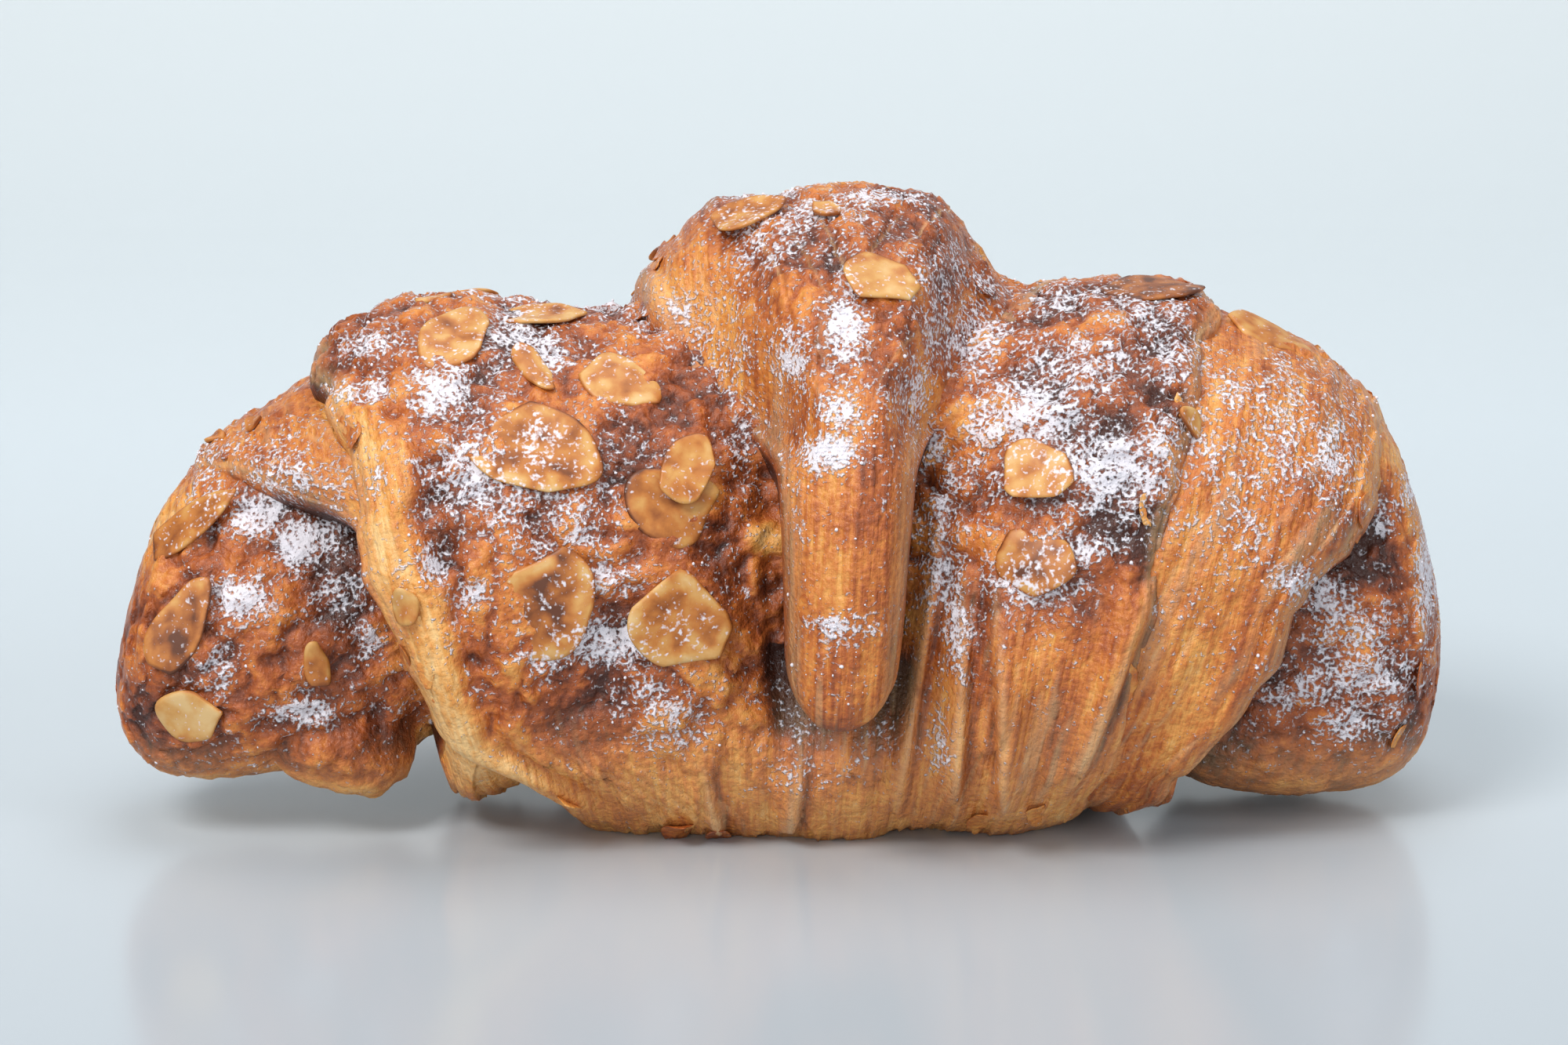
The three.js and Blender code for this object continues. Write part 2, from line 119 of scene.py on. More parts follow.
# Curves of the roll: by station for sizes along the loaf, by roll angle for what follows the rolling.
# The underside and the left edges of the outer and middle wraps fit the photograph closer than the solids.
AXIS_HEIGHT = curve((-84, 18.5), (-74, 23), (-66, 26), (-58, 29), (-36, 34.5), (0, 35), (40, 34.5), (58, 32),
                    (70, 28), (84, 22))
AXIS_BEND = curve((-80, -10), (-40, -2), (0, 0), (80, 0))
SECTION_TILT = curve((-84, 4), (-72, -10), (-60, -20), (-36, -12), (0, 0), (40, 11), (60, 14), (84, -2))
UNDERSIDE = curve((-84, 0.88), (-74, 0.93), (-66, 1), (-58, 1.18), (-48, 1.1), (-38, 1.04), (-24, 1.11),
                  (8, 1.14), (22, 1.05), (32, 1.01), (52, 1.04), (60, 1.26), (68, 1.24),
                  (76, 1.12), (84, 1.02))
MIDDLE_RADIUS = curve((-68, 25), (-56, 30), (-38, 35), (-22, 33), (-6, 32.5), (20, 33.5), (34, 36.2),
                      (46, 35), (60, 30))
INNER_RADIUS = curve((-84, 17), (-74, 21), (-64, 25), (-36, 29), (-18, 26), (8, 22), (28, 27), (44, 33),
                     (58, 31.5), (70, 27), (84, 22))
CORE_RADIUS = curve((-84, 14.5), (-76, 18), (-68, 20.5), (-36, 22), (8, 18), (52, 25), (70, 23), (84, 19))
LAYER_RADII = (MIDDLE_RADIUS, INNER_RADIUS, CORE_RADIUS)
LAST_LAYER = len(LAYER_RADII) - 1.001
DOME_RISE = curve((-111, 9.5), (-90, 10), (-45, 10.5), (0, 12.5), (90, 8), (180, 4), (248, 0))
DOME_CROWN = curve((-111, 0.3), (-45, 0.3), (-25, 0.45), (-6, 0.85))
LEFT_FLANK = curve((-66, 0), (-48, 1), (-26, 1), (-8, 0))
RIGHT_FLANK = curve((-66, 0), (-48, 1), (20, 1), (60, 0))
VALLEY_DEPTH = curve((-134, 0), (-118, 4.5), (-62, 4.5), (-46, 1), (-25, 0))
LEFT_RIM = curve((-82, 0), (-71, 1), (-60, 1))
RIGHT_RIM = curve((60, 1), (73, 1), (83, 0))
LIP_WIDTH = curve((-111, 3), (-62, 4.5), (-25, 8), (0, 11), (150, 10), (248, 5), (800, 4))
LIP_DROP = curve((-111, 7), (-62, 6.5), (-25, 6), (0, 6.5), (170, 5), (200, 6), (285, 6), (310, 4.5),
                 (360, 5), (600, 5), (640, 3.5), (720, 3.5), (800, 5))


class Wrap:
    """One turn of the dough: the roll angles it spans and how far its edges reach left and right."""

    def __init__(self, start, end, left, right):
        self.start = start
        self.end = end
        self.left = curve(*left)
        self.right = curve(*right)

    def reach(self, roll, u):
        """How far the edge on a point's side lies from the tongue's middle, rounded in at its tip."""
        width = np.where(u < TONGUE_U, self.left(roll), self.right(roll))
        t = TIP_NARROW * (1 - np.clip((roll - TONGUE_TIP) / TIP_ROUND, 0, 1))
        return width * np.sqrt(1 - t * t)


OUTER_WRAP = Wrap(TONGUE_TIP, 180,
                  [(-111, 7.2), (-67, 8.2), (-52, 11), (-40, 16), (-28, 19.5), (0, 23.8), (90, 30),
                   (180, 41)],
                  [(-111, 7.0), (-67, 7.2), (-52, 9), (-40, 12), (-22, 16.5), (0, 20.5), (90, 25),
                   (180, 33)])
MIDDLE_WRAP = Wrap(180, 540,
                   [(180, 41), (216, 41.5), (228, 47), (240, 55.5), (285, 55.5), (326, 57), (345, 59),
                    (450, 59), (540, 58)],
                   [(180, 33), (216, 37), (270, 37.5), (316, 38.5), (360, 40), (450, 42), (540, 44)])
INNER_WRAP = Wrap(540, 800,
                  [(540, 58), (596, 55.5), (630, 55), (651, 58), (676, 66), (701, 74), (720, 79), (800, 80)],
                  [(540, 44), (576, 46), (596, 50), (630, 56), (676, 63), (720, 66), (800, 70)])
WRAPS = (OUTER_WRAP, MIDDLE_WRAP, INNER_WRAP)


# Noise

LATTICE_CELLS = 64
LATTICE_SEED = 7
LATTICE = np.random.default_rng(LATTICE_SEED).random((LATTICE_CELLS,) * 3)
OCTAVE_STEP = 2.03
OCTAVE_SHIFT = (11.3, 5.7)


def value_noise(x, y, z=0.0):
    """Smooth noise from 0 to 1 with a cell of one unit, repeating with the lattice."""
    x, y, z = np.broadcast_arrays(x, y, z)
    cell = [np.floor(c).astype(int) for c in (x, y, z)]
    part = [c - f for c, f in zip((x, y, z), cell)]
    ease = [p ** 3 * (p * (p * 6 - 15) + 10) for p in part]
    total = 0.0
    for corner in np.ndindex(2, 2, 2):
        weight = 1.0
        index = []
        for axis in range(3):
            weight = weight * (ease[axis] if corner[axis] else 1 - ease[axis])
            index.append((cell[axis] + corner[axis]) % LATTICE_CELLS)
        total = total + weight * LATTICE[tuple(index)]
    return total


def layered_noise(x, y, z=0.0, octaves=3, gain=0.5):
    """Noise from 0 to 1 with finer and weaker layers on top."""
    total = 0.0
    share = 1.0
    whole = 0.0
    for octave in range(octaves):
        grow = OCTAVE_STEP ** octave
        shift_x, shift_y = (shift * octave for shift in OCTAVE_SHIFT)
        total = total + share * value_noise(x * grow + shift_x, y * grow + shift_y, z * grow)
        whole += share
        share *= gain
    return total / whole


def place_noise(place, size, shift=(0, 0, 0), octaves=3, gain=0.5):
    """Layered noise at points in space, with a cell of some size in mm."""
    x, y, z = (place[..., axis] / size + shift[axis] for axis in range(3))
    return layered_noise(x, y, z, octaves, gain)


def flake_cells(x, y, seed):
    """A random number for each cell of a jittered grid, and how far points lean from its middle."""
    i = np.floor(x).astype(int)
    j = np.floor(y).astype(int)
    nearest = np.full(x.shape, np.inf)
    tag = np.zeros(x.shape)
    lean = np.zeros(x.shape)
    for di in (-1, 0, 1):
        for dj in (-1, 0, 1):
            a = (i + di) % LATTICE_CELLS
            b = (j + dj) % LATTICE_CELLS
            dx = i + di + LATTICE[a, b, seed] - x
            dy = j + dj + LATTICE[a, b, seed + 1] - y
            far = np.hypot(dx, dy)
            closer = far < nearest
            tag = np.where(closer, LATTICE[a, b, seed + 2], tag)
            lean = np.where(closer, dx * (LATTICE[a, b, seed + 3] - 0.5) + dy, lean)
            nearest = np.minimum(nearest, far)
    return tag, lean


# The roll's form

def roll_point(u, roll, radius):
    """Points of the roll at a station, roll angle and radius. Its lower half is squarer, from the tray."""
    u, roll, radius = np.broadcast_arrays(u, roll, radius)
    tilt = SECTION_TILT(u) * RAD
    lift = np.cos(roll * RAD)
    front = -np.sin(roll * RAD)
    square = (np.abs(lift) ** BASE_SQUARENESS + np.abs(front) ** BASE_SQUARENESS) ** (-1 / BASE_SQUARENESS)
    front = np.where(lift < 0, front * square, front)
    lift = np.where(lift < 0, lift * square * UNDERSIDE(u), lift)
    x = u + radius * lift * np.sin(tilt)
    y = AXIS_BEND(u) - radius * front * DEPTH_RATIO
    z = AXIS_HEIGHT(u) + radius * lift * np.cos(tilt)
    return np.stack([x, y, np.maximum(z, 0)], -1)


def over_top(clock):
    """How far a point of a ring lies over the top, from 0 low on its sides to 1."""
    ring = clock % TURN
    return np.where(ring > HALF_TURN, fade(*RIM_FRONT, ring), fade(*RIM_BACK, ring))


def core_radius(u, clock):
    """Radius of the core: its tips end bluntly, and over the top a rim carries the inner wrap's height on."""
    past = np.maximum(np.maximum(LEFT_END + TIP_BLUNT - u, u - RIGHT_END + TIP_BLUNT), 0) / TIP_BLUNT
    blunt = np.sqrt(1 - np.minimum(past, 1) ** TIP_POWER)
    rim = over_top(clock) * np.where(u < 0, LEFT_RIM(u), RIGHT_RIM(u))
    return CORE_FIT * (CORE_RADIUS(u) + (RIM_FIT * INNER_RADIUS(u) - CORE_RADIUS(u)) * rim) * blunt


def tongue_gap(u, roll):
    """How far a point of the lobes lies from the tongue above it: beside it, and below its tip."""
    over = roll - TURN
    short = np.maximum(TONGUE_TIP - over, 0) * RAD * MEAN_RADIUS
    reach = OUTER_WRAP.reach(np.maximum(over, TONGUE_TIP + TIP_ROUND), u)
    aside = np.maximum(np.abs(u - TONGUE_U) - reach, 0)
    return aside, short


def valley_depth(u, roll):
    """Dip of the lobes beside the tongue and under its tip."""
    aside, short = tongue_gap(u, roll)
    return VALLEY_DEPTH(roll - TURN) * np.exp(-(aside ** 2 + short ** 2) / VALLEY_WIDTH ** 2)


def dome_flank(u, roll):
    """Where the dome's sides run out into the lobes, from 0 to 1."""
    return np.where(u < TONGUE_U, LEFT_FLANK(roll), RIGHT_FLANK(roll))


def spiral_radius(wrap, u, roll, reach):
    """Outer radius of a wrap between the layers, with the dome's rise but without its rounded edges."""
    turn = np.clip((roll - COVER) / TURN, 0, LAST_LAYER)
    layer = np.floor(turn)
    radii = [radius(u) for radius in LAYER_RADII]
    outer = np.where(layer < 1, radii[0], radii[1])
    inner = np.where(layer < 1, radii[1], radii[2])
    across = np.minimum(np.abs(u - TONGUE_U) / np.maximum(reach, TINY), 1)
    rise = np.where(roll < COVER, DOME_RISE(roll), 0) * (1 - DOME_CROWN(roll) * across ** DOME_POWER)
    rise = rise * (1 - FLANK_SINK * dome_flank(u, roll) * fade(FLANK_START, 1, across))
    rise = rise - np.where(wrap is MIDDLE_WRAP, valley_depth(u, roll), 0)
    tuck = np.maximum(np.maximum(wrap.start - roll, roll - wrap.end), 0) / TUCK_ANGLE
    tip = np.clip(1 - (roll - TONGUE_TIP) / TIP_ROLL_IN, 0, 1)
    fall = TONGUE_TIP_DROP * (1 - np.sqrt(1 - tip * tip)) + TUCK_DEPTH * tuck
    return outer + (inner - outer) * (turn - layer) + rise - fall


def lip_fall(edge, u, roll):
    """Fall of the surface towards a dough edge, from none at 0 to the whole drop at 1."""
    drop = LIP_DROP(roll) * (1 - FLANK_SOFT * dome_flank(u, roll))
    return drop * (1 - np.sqrt(np.clip(1 - edge * edge, 0, 1)))


def lip_width(roll, reach):
    """Width of the rounded edge of a wrap."""
    return np.minimum(LIP_WIDTH(roll), np.maximum(reach, TINY))


def wrap_radius(wrap, u, roll):
    """Outer radius of a wrap with its rounded edges."""
    reach = wrap.reach(roll, u)
    lip = lip_width(roll, reach)
    edge = np.clip((np.abs(u - TONGUE_U) - reach + lip) / lip, 0, 1)
    return spiral_radius(wrap, u, roll, reach) - lip_fall(edge, u, roll)


def crust_radius(u, clock):
    """Radius of the crust as it is seen, before its relief, and the layer that is on top (0 is outermost)."""
    u, clock = np.broadcast_arrays(np.asarray(u, float), np.asarray(clock, float))
    radius = core_radius(u, clock)
    layer = np.full(u.shape, len(WRAPS))
    for number, wrap in enumerate(WRAPS):
        for turn in range(-1, 3):
            roll = clock % TURN + turn * TURN
            inside = (roll >= wrap.start) & (roll <= wrap.end) & (np.abs(u - TONGUE_U) < wrap.reach(roll, u))
            here = wrap_radius(wrap, u, roll)
            higher = inside & (here > radius)
            radius = np.where(higher, here, radius)
            layer = np.where(higher, number, layer)
    return radius, layer


# Where sugar lies and where the crust is browner or paler, as seen from the front: right and down in the
# picture's frame of
# 200 by 133.3, then half width, half height and strength. The back is dressed by the same lists, mirrored.
# The browner and paler spots are partly browning, partly painted shade in the valleys and painted light on
# dough turned from the lamps.
SUGAR_SPOTS = [
    (143, 60, 9, 5.5, 1.0), (149, 57, 6, 4, 0.9), (133, 53, 6, 5, 0.8), (138, 46, 8, 5, 0.5),
    (151, 46, 6, 4, 0.55), (126, 56, 5, 8, 0.55), (132, 74, 5, 3, 0.85), (138, 70, 6, 3, 0.5),
    (121, 64, 3, 6, 0.55), (134, 37, 8, 3, 0.6), (145, 40, 8, 3, 0.5), (108, 42, 2.2, 6, 1.0),
    (107, 52, 2.2, 2.5, 0.9), (106, 58, 4, 2.5, 0.95), (101, 46, 2.5, 4, 0.6), (107, 80, 4, 2, 0.65),
    (102, 68, 1.2, 8, 0.35), (100, 27, 9, 3, 0.5), (112, 25, 7, 2, 0.5), (120, 36, 4, 5, 0.5),
    (98, 32, 5, 4, 0.45), (92, 45, 4, 6, 0.5), (95, 56, 2.5, 8, 0.45), (66, 42, 5, 5, 0.6),
    (56, 50, 4, 4, 0.85), (70, 45, 2.5, 4, 0.8), (60, 60, 6, 5, 0.75), (55, 72, 3, 3, 0.85),
    (60, 76, 3, 2.5, 0.75), (69, 56, 3, 3, 0.9), (73, 66, 5, 4, 0.5), (77, 74, 4, 3, 0.75),
    (78, 82, 7, 3, 0.85), (70, 84, 4, 2, 0.6), (88, 80, 3, 3, 0.6), (86, 92, 7, 5, 0.45),
    (82, 88, 4, 3, 0.5), (46, 50, 5, 1.5, 0.75), (47, 44, 5, 2, 0.5), (48, 62, 2.5, 2.5, 0.5),
    (33, 66, 4, 3, 0.85), (31, 76, 4, 3.5, 0.95), (38, 70, 4, 4, 0.75), (43, 76, 4, 4, 0.65),
    (38, 91, 5, 2, 0.85), (28, 85, 3, 4, 0.45), (47, 82, 2.5, 4, 0.55), (170, 77, 5, 4, 0.85),
    (174, 86, 6, 4, 0.75), (166, 74, 3, 2.5, 0.85), (176, 66, 2, 3, 0.65), (165, 88, 5, 4, 0.6),
    (180, 62, 2, 4, 0.6), (172, 92, 6, 3, 0.55), (163, 54, 4, 9, 0.4), (170, 58, 3, 6, 0.4),
    (157, 49, 3, 3, 0.5), (158, 67, 4, 6, 0.35), (117, 50, 3, 5, 0.6), (123, 43, 5, 5, 0.75),
    (119, 58, 2.5, 5, 0.5), (128, 36, 4, 3, 0.6), (104, 100, 8, 3, 0.35), (122, 80, 2, 8, 0.5),
    (120, 95, 2, 6, 0.4), (111, 104, 5, 2, 0.3), (120, 70, 2.5, 9, 0.55), (172, 80, 7, 9, 0.55),
    (36, 62, 6, 4, 0.7), (42, 68, 4, 6, 0.6), (90, 42, 4, 5, 0.45), (26, 62, 3, 6, 0.45),
    (87, 41, 6, 4, 0.6), (182, 72, 2, 9, 0.7), (66, 62, 12, 12, 0.35),
]
BROWNING_LIGHT_AND_SHADE_SPOTS = [
    (48, 42, 8, 4, 0.12), (70, 93, 14, 6, 0.08), (96, 75, 3, 14, -0.08), (119, 68, 3.5, 12, -0.1),
    (107, 30, 14, 8, 0.05), (38, 64, 4, 2, 0.2), (45, 76, 3, 8, 0.25), (135, 52, 3, 3, 0.35),
    (133, 70, 4, 3, 0.15), (172, 72, 3, 6, 0.2), (176, 94, 5, 3, 0.15), (145, 68, 5, 5, 0.12),
    (86, 38, 5, 4, -0.15), (107, 66, 5, 9, 0.02), (55, 85, 3, 9, -0.35), (63, 98, 6, 4, -0.3),
    (43, 55, 4, 5, -0.15), (165, 52, 8, 10, -0.12), (152, 88, 4, 9, -0.16), (49, 72, 3.5, 14, -0.36),
    (57, 94, 5, 5, -0.3), (172, 82, 7, 10, -0.2), (179, 58, 3, 9, -0.25), (181, 72, 2.5, 14, -0.25),
    (22, 68, 4, 9, -0.25), (100, 103, 15, 4, -0.1), (135, 85, 6, 8, -0.05),
]
BACK_BLEND = 5.0

# The camera, set up as for the photograph
CAMERA_TILT = 13.0
CAMERA_LENS = 100.0
CAMERA_SENSOR = 36.0
CAMERA_AWAY = 555.6
LOOK_AT = np.array([0.9, 0.0, 36.2])
FRAME_WIDE = 200.0
FRAME_TALL = 133.3


def front_frame(place):
    """Where points show in the picture's frame, in the units of the lists above."""
    off = place - LOOK_AT
    lean = CAMERA_TILT * RAD
    depth = CAMERA_AWAY + off[..., 1] * np.cos(lean) - off[..., 2] * np.sin(lean)
    up = off[..., 2] * np.cos(lean) + off[..., 1] * np.sin(lean)
    grow = FRAME_WIDE * CAMERA_LENS / CAMERA_SENSOR / depth
    return FRAME_WIDE / 2 + grow * off[..., 0], FRAME_TALL / 2 - grow * up


def spot_sum(place, spots, strongest):
    """Strength of a list of spots at some points, from the front and mirrored on the back."""
    total = 0.0
    back = fade(-BACK_BLEND, BACK_BLEND, place[..., 1])
    for turned, share in ((np.array([1, 1, 1]), 1 - back), (np.array([-1, -1, 1]), back)):
        right, down = front_frame(place * turned)
        seen = np.zeros(right.shape)
        for spot_right, spot_down, wide, tall, strength in spots:
            patch = strength * bell(right - spot_right, wide, down - spot_down, tall)
            seen = np.maximum(seen, patch) if strongest else seen + patch
        total = total + share * seen
    return total


# Icing sugar: sizes of its patches, clumps and specks, the dusting between the spots, and where it ends below
SUGAR_PATCH = 7.0
SUGAR_CLUMP = 2.4
SUGAR_SPECK = 0.55
SPOT_BASE = 0.2
SPOT_PATCHES = 0.9
SPOT_CLUMPS = 1.1
DUSTING = 0.35
DUST_FACING = (-0.8, 0.6)
DUST_PATCHES = (0.2, 0.6)
DUST_LEAST = 0.3
SUGAR_HEIGHTS = (3, 14)


def sugar_cover(place, up):
    """How thick the icing sugar lies, from 0 to 1: spots, a fine dusting on what faces up, and none below."""
    patches = place_noise(place, SUGAR_PATCH)
    clumps = place_noise(place, SUGAR_CLUMP, (0, 3, 0), 2)
    spots = spot_sum(place, SUGAR_SPOTS, True) * (SPOT_BASE + SPOT_PATCHES * patches + SPOT_CLUMPS * clumps)
    patchy = DUST_LEAST + (1 - DUST_LEAST) * fade(*DUST_PATCHES, patches)
    dust = DUSTING * fade(*DUST_FACING, up) * patchy
    return np.clip((spots + (1 - spots) * dust) * fade(*SUGAR_HEIGHTS, place[..., 2]), 0, 1)


# Meshes

SEAM_GAP = 1e-7
NO_LENGTH = 1e-9


def to_metres(points):
    """Points of the loaf in the scene's frame."""
    return (points + LOAF_SHIFT) * MM


def grid_mesh(name, points):
    """Mesh from a grid of points whose columns close into a loop."""
    rows, columns = points.shape[:2]
    bm = bmesh.new()
    bmesh.ops.create_grid(bm, x_segments=columns - 1, y_segments=rows - 1, size=1.0)
    mesh = bpy.data.meshes.new(name)
    bm.to_mesh(mesh)
    bm.free()
    mesh.vertices.foreach_set("co", to_metres(points).reshape(-1))
    mesh.update()
    return mesh


def add_attribute(mesh, name, values):
    """Stores one number for each point of a mesh."""
    attribute = mesh.attributes.new(name, "FLOAT", "POINT")
    attribute.data.foreach_set("value", np.ascontiguousarray(values, np.float32).reshape(-1))


def add_dough_map(mesh, across, along):
    """UV map in mm: across the dough by station, and along the rolling."""
    layer = mesh.uv_layers.new(name="dough")
    corner = np.zeros(len(mesh.loops), np.int64)
    mesh.loops.foreach_get("vertex_index", corner)
    pair = np.stack([across.reshape(-1)[corner], along.reshape(-1)[corner]], -1)
    layer.data.foreach_set("uv", np.ascontiguousarray(pair, np.float32).reshape(-1))


def add_object(name, data):
    """Puts a mesh, a camera or a light into the scene."""
    thing = bpy.data.objects.new(name, data)
    bpy.context.scene.collection.objects.link(thing)
    return thing


def finish_piece(name, mesh, material, merge=True):
    """Closes the seam, caps the ends, turns the faces out and adds the piece to the loaf."""
    bm = bmesh.new()
    bm.from_mesh(mesh)
    if merge:
        bmesh.ops.remove_doubles(bm, verts=bm.verts, dist=SEAM_GAP)
        open_edges = [edge for edge in bm.edges if edge.is_boundary]
        bmesh.ops.holes_fill(bm, edges=open_edges, sides=0)
    bmesh.ops.recalc_face_normals(bm, faces=bm.faces)
    for face in bm.faces:
        face.smooth = True
    bm.to_mesh(mesh)
    bm.free()
    mesh.materials.append(material)
    return add_object(name, mesh)


def surface_normals(points):
    """Outward normals of a grid of points."""
    du = np.gradient(points, axis=1)
    da = np.gradient(points, axis=0)
    normal = np.cross(du, da)
    return normal / np.maximum(np.linalg.norm(normal, axis=-1, keepdims=True), NO_LENGTH)


# Flaked almonds, as in the solids: station, clock angle, length, width, turn,
# then browning of the middle and of the rim, and sugar

FRONT_SLICES = [
    (-33.5, 335, 13, 8, 62, 0.55, 0.3, 0.0), (-24.5, 349, 11, 7, 5, 0.45, 0.3, 0.0),
    (-16.5, 322, 10.5, 8, -25, 0.5, 0.25, 0.0), (-25.5, 325, 9, 4, -60, 0.5, 0.4, 0.2),
    (-26, 303, 16, 12, -25, 0.7, 0.35, 0.45), (-11.5, 290, 11.5, 10.5, 20, 0.65, 0.5, 0.0),
    (-28, 269, 15, 12.5, 60, 0.85, 0.3, 0.3), (-11, 264, 14.5, 11.5, -20, 0.6, 0.25, 0.35),
    (-68.5, 322, 14, 5, -8, 0.6, 0.45, 0.1), (-72, 288, 13, 6.5, 36, 0.8, 0.55, 0.1),
    (-73, 250, 8.5, 7.5, 10, 0.15, 0.2, 0.0), (10.8, 329, 10, 9, -15, 0.35, 0.35, 0.0),
    (-2.8, 352, 10, 8, 15, 0.6, 0.5, 0.1), (29, 297, 9.5, 8.5, 5, 0.4, 0.4, 0.1),
    (30, 278, 10.5, 8, 0, 0.75, 0.5, 0.4), (40.5, 354, 14, 9, 8, 0.85, 0.8, 0.1),
    (55, 353, 12, 8, -10, 0.5, 0.45, 0.0), (-10, 298, 9, 7, 70, 0.5, 0.4, 0.0),
]
BACK_SLICES = [
    (14, 20, 13, 9, 30, 0.5, 0.3, 0.2), (-4, 42, 14, 10, -35, 0.6, 0.35, 0.3),
    (20, 66, 12, 9, 70, 0.4, 0.3, 0.0), (2, 96, 15, 11, 10, 0.7, 0.4, 0.3),
    (-12, 78, 10, 8, -60, 0.4, 0.3, 0.1), (12, 124, 12, 9.5, 45, 0.5, 0.4, 0.0),
    (-36, 26, 13, 9, -15, 0.55, 0.35, 0.2), (-34, 62, 15, 10.5, 55, 0.65, 0.4, 0.4),
    (-40, 104, 11, 8, 0, 0.5, 0.3, 0.0), (40, 40, 12, 9, -50, 0.45, 0.3, 0.2),
    (38, 86, 14, 10, 20, 0.7, 0.4, 0.3), (-60, 58, 11, 7.5, 25, 0.5, 0.35, 0.1),
    (-70, 108, 10, 8, -40, 0.4, 0.3, 0.0), (62, 48, 13, 9, 65, 0.55, 0.4, 0.2),
    (71, 112, 9.5, 8, 0, 0.45, 0.3, 0.0),
]


# Relief of the dough. A pair is the range over which something fades in, or for a CELL its sizes across and
# along the rolling. STREAK_SEEDS are those of the fine and the broad streaks.

LAMINATION_STEPS = 4
STREAK_SPACING = 1.4
STREAK_BROADER = 3.2
STREAK_LENGTH = 16.0
STREAK_SWAY = 4.0
SWAY_CELL = (12, 15)
STREAK_SEEDS = (0.37, 0.61)
CREST = (0.6, 0.72)
LUMP_SIZE = 8.0
LUMP_RANGE = (0.2, 0.8)
CREASE_SIZE = 4.5
CREASE_HALF = 0.16
GRAIN_SIZE = 1.4
LUMP_SHARE = 0.4
CREASE_SHARE = 0.3
GRAIN_SHARE = 0.3
ROUGH_GAIN = 0.6
WRINKLE_SIZE = 2.6
WRINKLE_DEPTH = 1.1
BLISTER_SIZE = 1.9
BLISTER_RANGE = (0.62, 0.8)
BLISTER_RISE = 0.3
SKIN_LEVEL = 0.1
SMOOTH_SKIN = 0.35


def streaks(across, along, seed):
    """Ridges that follow the rolling, from 0 to 1."""
    sway = STREAK_SWAY * layered_noise(across / SWAY_CELL[0], along / SWAY_CELL[1], seed, 3)
    spacings = (STREAK_SPACING, STREAK_BROADER * STREAK_SPACING)
    fine, broad = (layered_noise((across + sway) / spacing + seed, along / STREAK_LENGTH, seed * own, 2)
                   for spacing, own in zip(spacings, STREAK_SEEDS))
    return 0.5 * fine + 0.5 * broad


def crags(place, seed):
    """Rough baked almond paste: lumps, creases and grain, from 0 (pit) to 1."""
    lumps = place_noise(place, LUMP_SIZE, (seed, 0, 0), 2)
    fold = place_noise(place, CREASE_SIZE, (0, seed, 0), 3, ROUGH_GAIN)
    crease = fade(0.0, CREASE_HALF, np.abs(fold - 0.5))
    grain = place_noise(place, GRAIN_SIZE, (0, 0, seed), 2, ROUGH_GAIN)
    return LUMP_SHARE * fade(*LUMP_RANGE, lumps) + CREASE_SHARE * crease + GRAIN_SHARE * grain


def skin_relief(place, rough):
    """Small blisters and wrinkles of the crust in mm, whole where rough is 1 and faint on smooth dough."""
    wrinkle = place_noise(place, WRINKLE_SIZE, (0, 0, 21), 3, ROUGH_GAIN)
    blister = fade(*BLISTER_RANGE, place_noise(place, BLISTER_SIZE, (5, 0, 0), 1))
    skin = SKIN_LEVEL + WRINKLE_DEPTH * (0.5 - wrinkle) - BLISTER_RISE * blister
    return skin * (SMOOTH_SKIN + (1 - SMOOTH_SKIN) * rough)


LEAF_SPACING = 3.0
LEAF_SWAY = 3.5
LEAF_CELL = (30, 16)
LEAF_LENGTH = 11.0
LEAF_PICK = 7.3
LEAF_LIVELY = (0.25, 0.7)
LEAF_POWER = 0.6
LEAF_END = (0.18, 0.0)


def leaves(from_edge, along, seed):
    """Leaves of laminated dough that end one after another towards an edge: height of each, from 0 to 1, and
    how near its end is."""
    sway = swing(layered_noise(along / LEAF_CELL[1], from_edge / LEAF_CELL[0], seed, 3), LEAF_SWAY)
    turn = (from_edge + sway) / LEAF_SPACING
    part = turn - np.floor(turn)
    lively = fade(*LEAF_LIVELY, value_noise(np.floor(turn) * LEAF_PICK, along / LEAF_LENGTH, seed + 5))
    return part ** LEAF_POWER * lively, fade(*LEAF_END, part) * lively


FLAKE_WIDTH = 4.5
FLAKE_LENGTH = 12.0
FLAKE_WARP = 0.8
WARP_CELL = (4, 7)
FLAKE_LEAN = 0.35


def flake_steps(across, along, seed):
    """Overlapping flakes of crust: each cell leans and ends in a small step."""
    warp = FLAKE_WARP * layered_noise(across / WARP_CELL[0], along / WARP_CELL[1], seed, 3)
    tag, lean = flake_cells(across / FLAKE_WIDTH + warp, along / FLAKE_LENGTH + warp, seed)
    return 0.5 + FLAKE_LEAN * lean + swing(tag, FLAKE_LEAN)


# Folds low on the front: the line each drops along, from one station and roll angle to another, its height,
# and the side it drops to
PLEATS = [((17.5, 212), (19.5, 285), 2.0, 1), ((27, 212), (22.5, 275), 2.0, 1),
          ((34, 212), (25.5, 272), 3.0, -1), ((40, 215), (46, 285), 2.0, 1),
          ((2, 210), (4, 238), 1.2, 1), ((-8, 208), (-10, 236), 1.0, 1)]
PLEAT_IN = (0.05, 0.4)
PLEAT_OUT = (1.1, 0.6)
PLEAT_SLOPE = (-5.0, -0.3)
PLEAT_DROP = (0.9, -0.1)
# Lines along a fold, a pale edge and a line of painted shade in the crease below it: how far past its drop,
# and how wide
PLEAT_PALE = (-0.5, 0.6)
PLEAT_SHADE_LINE = (1.1, 0.8)


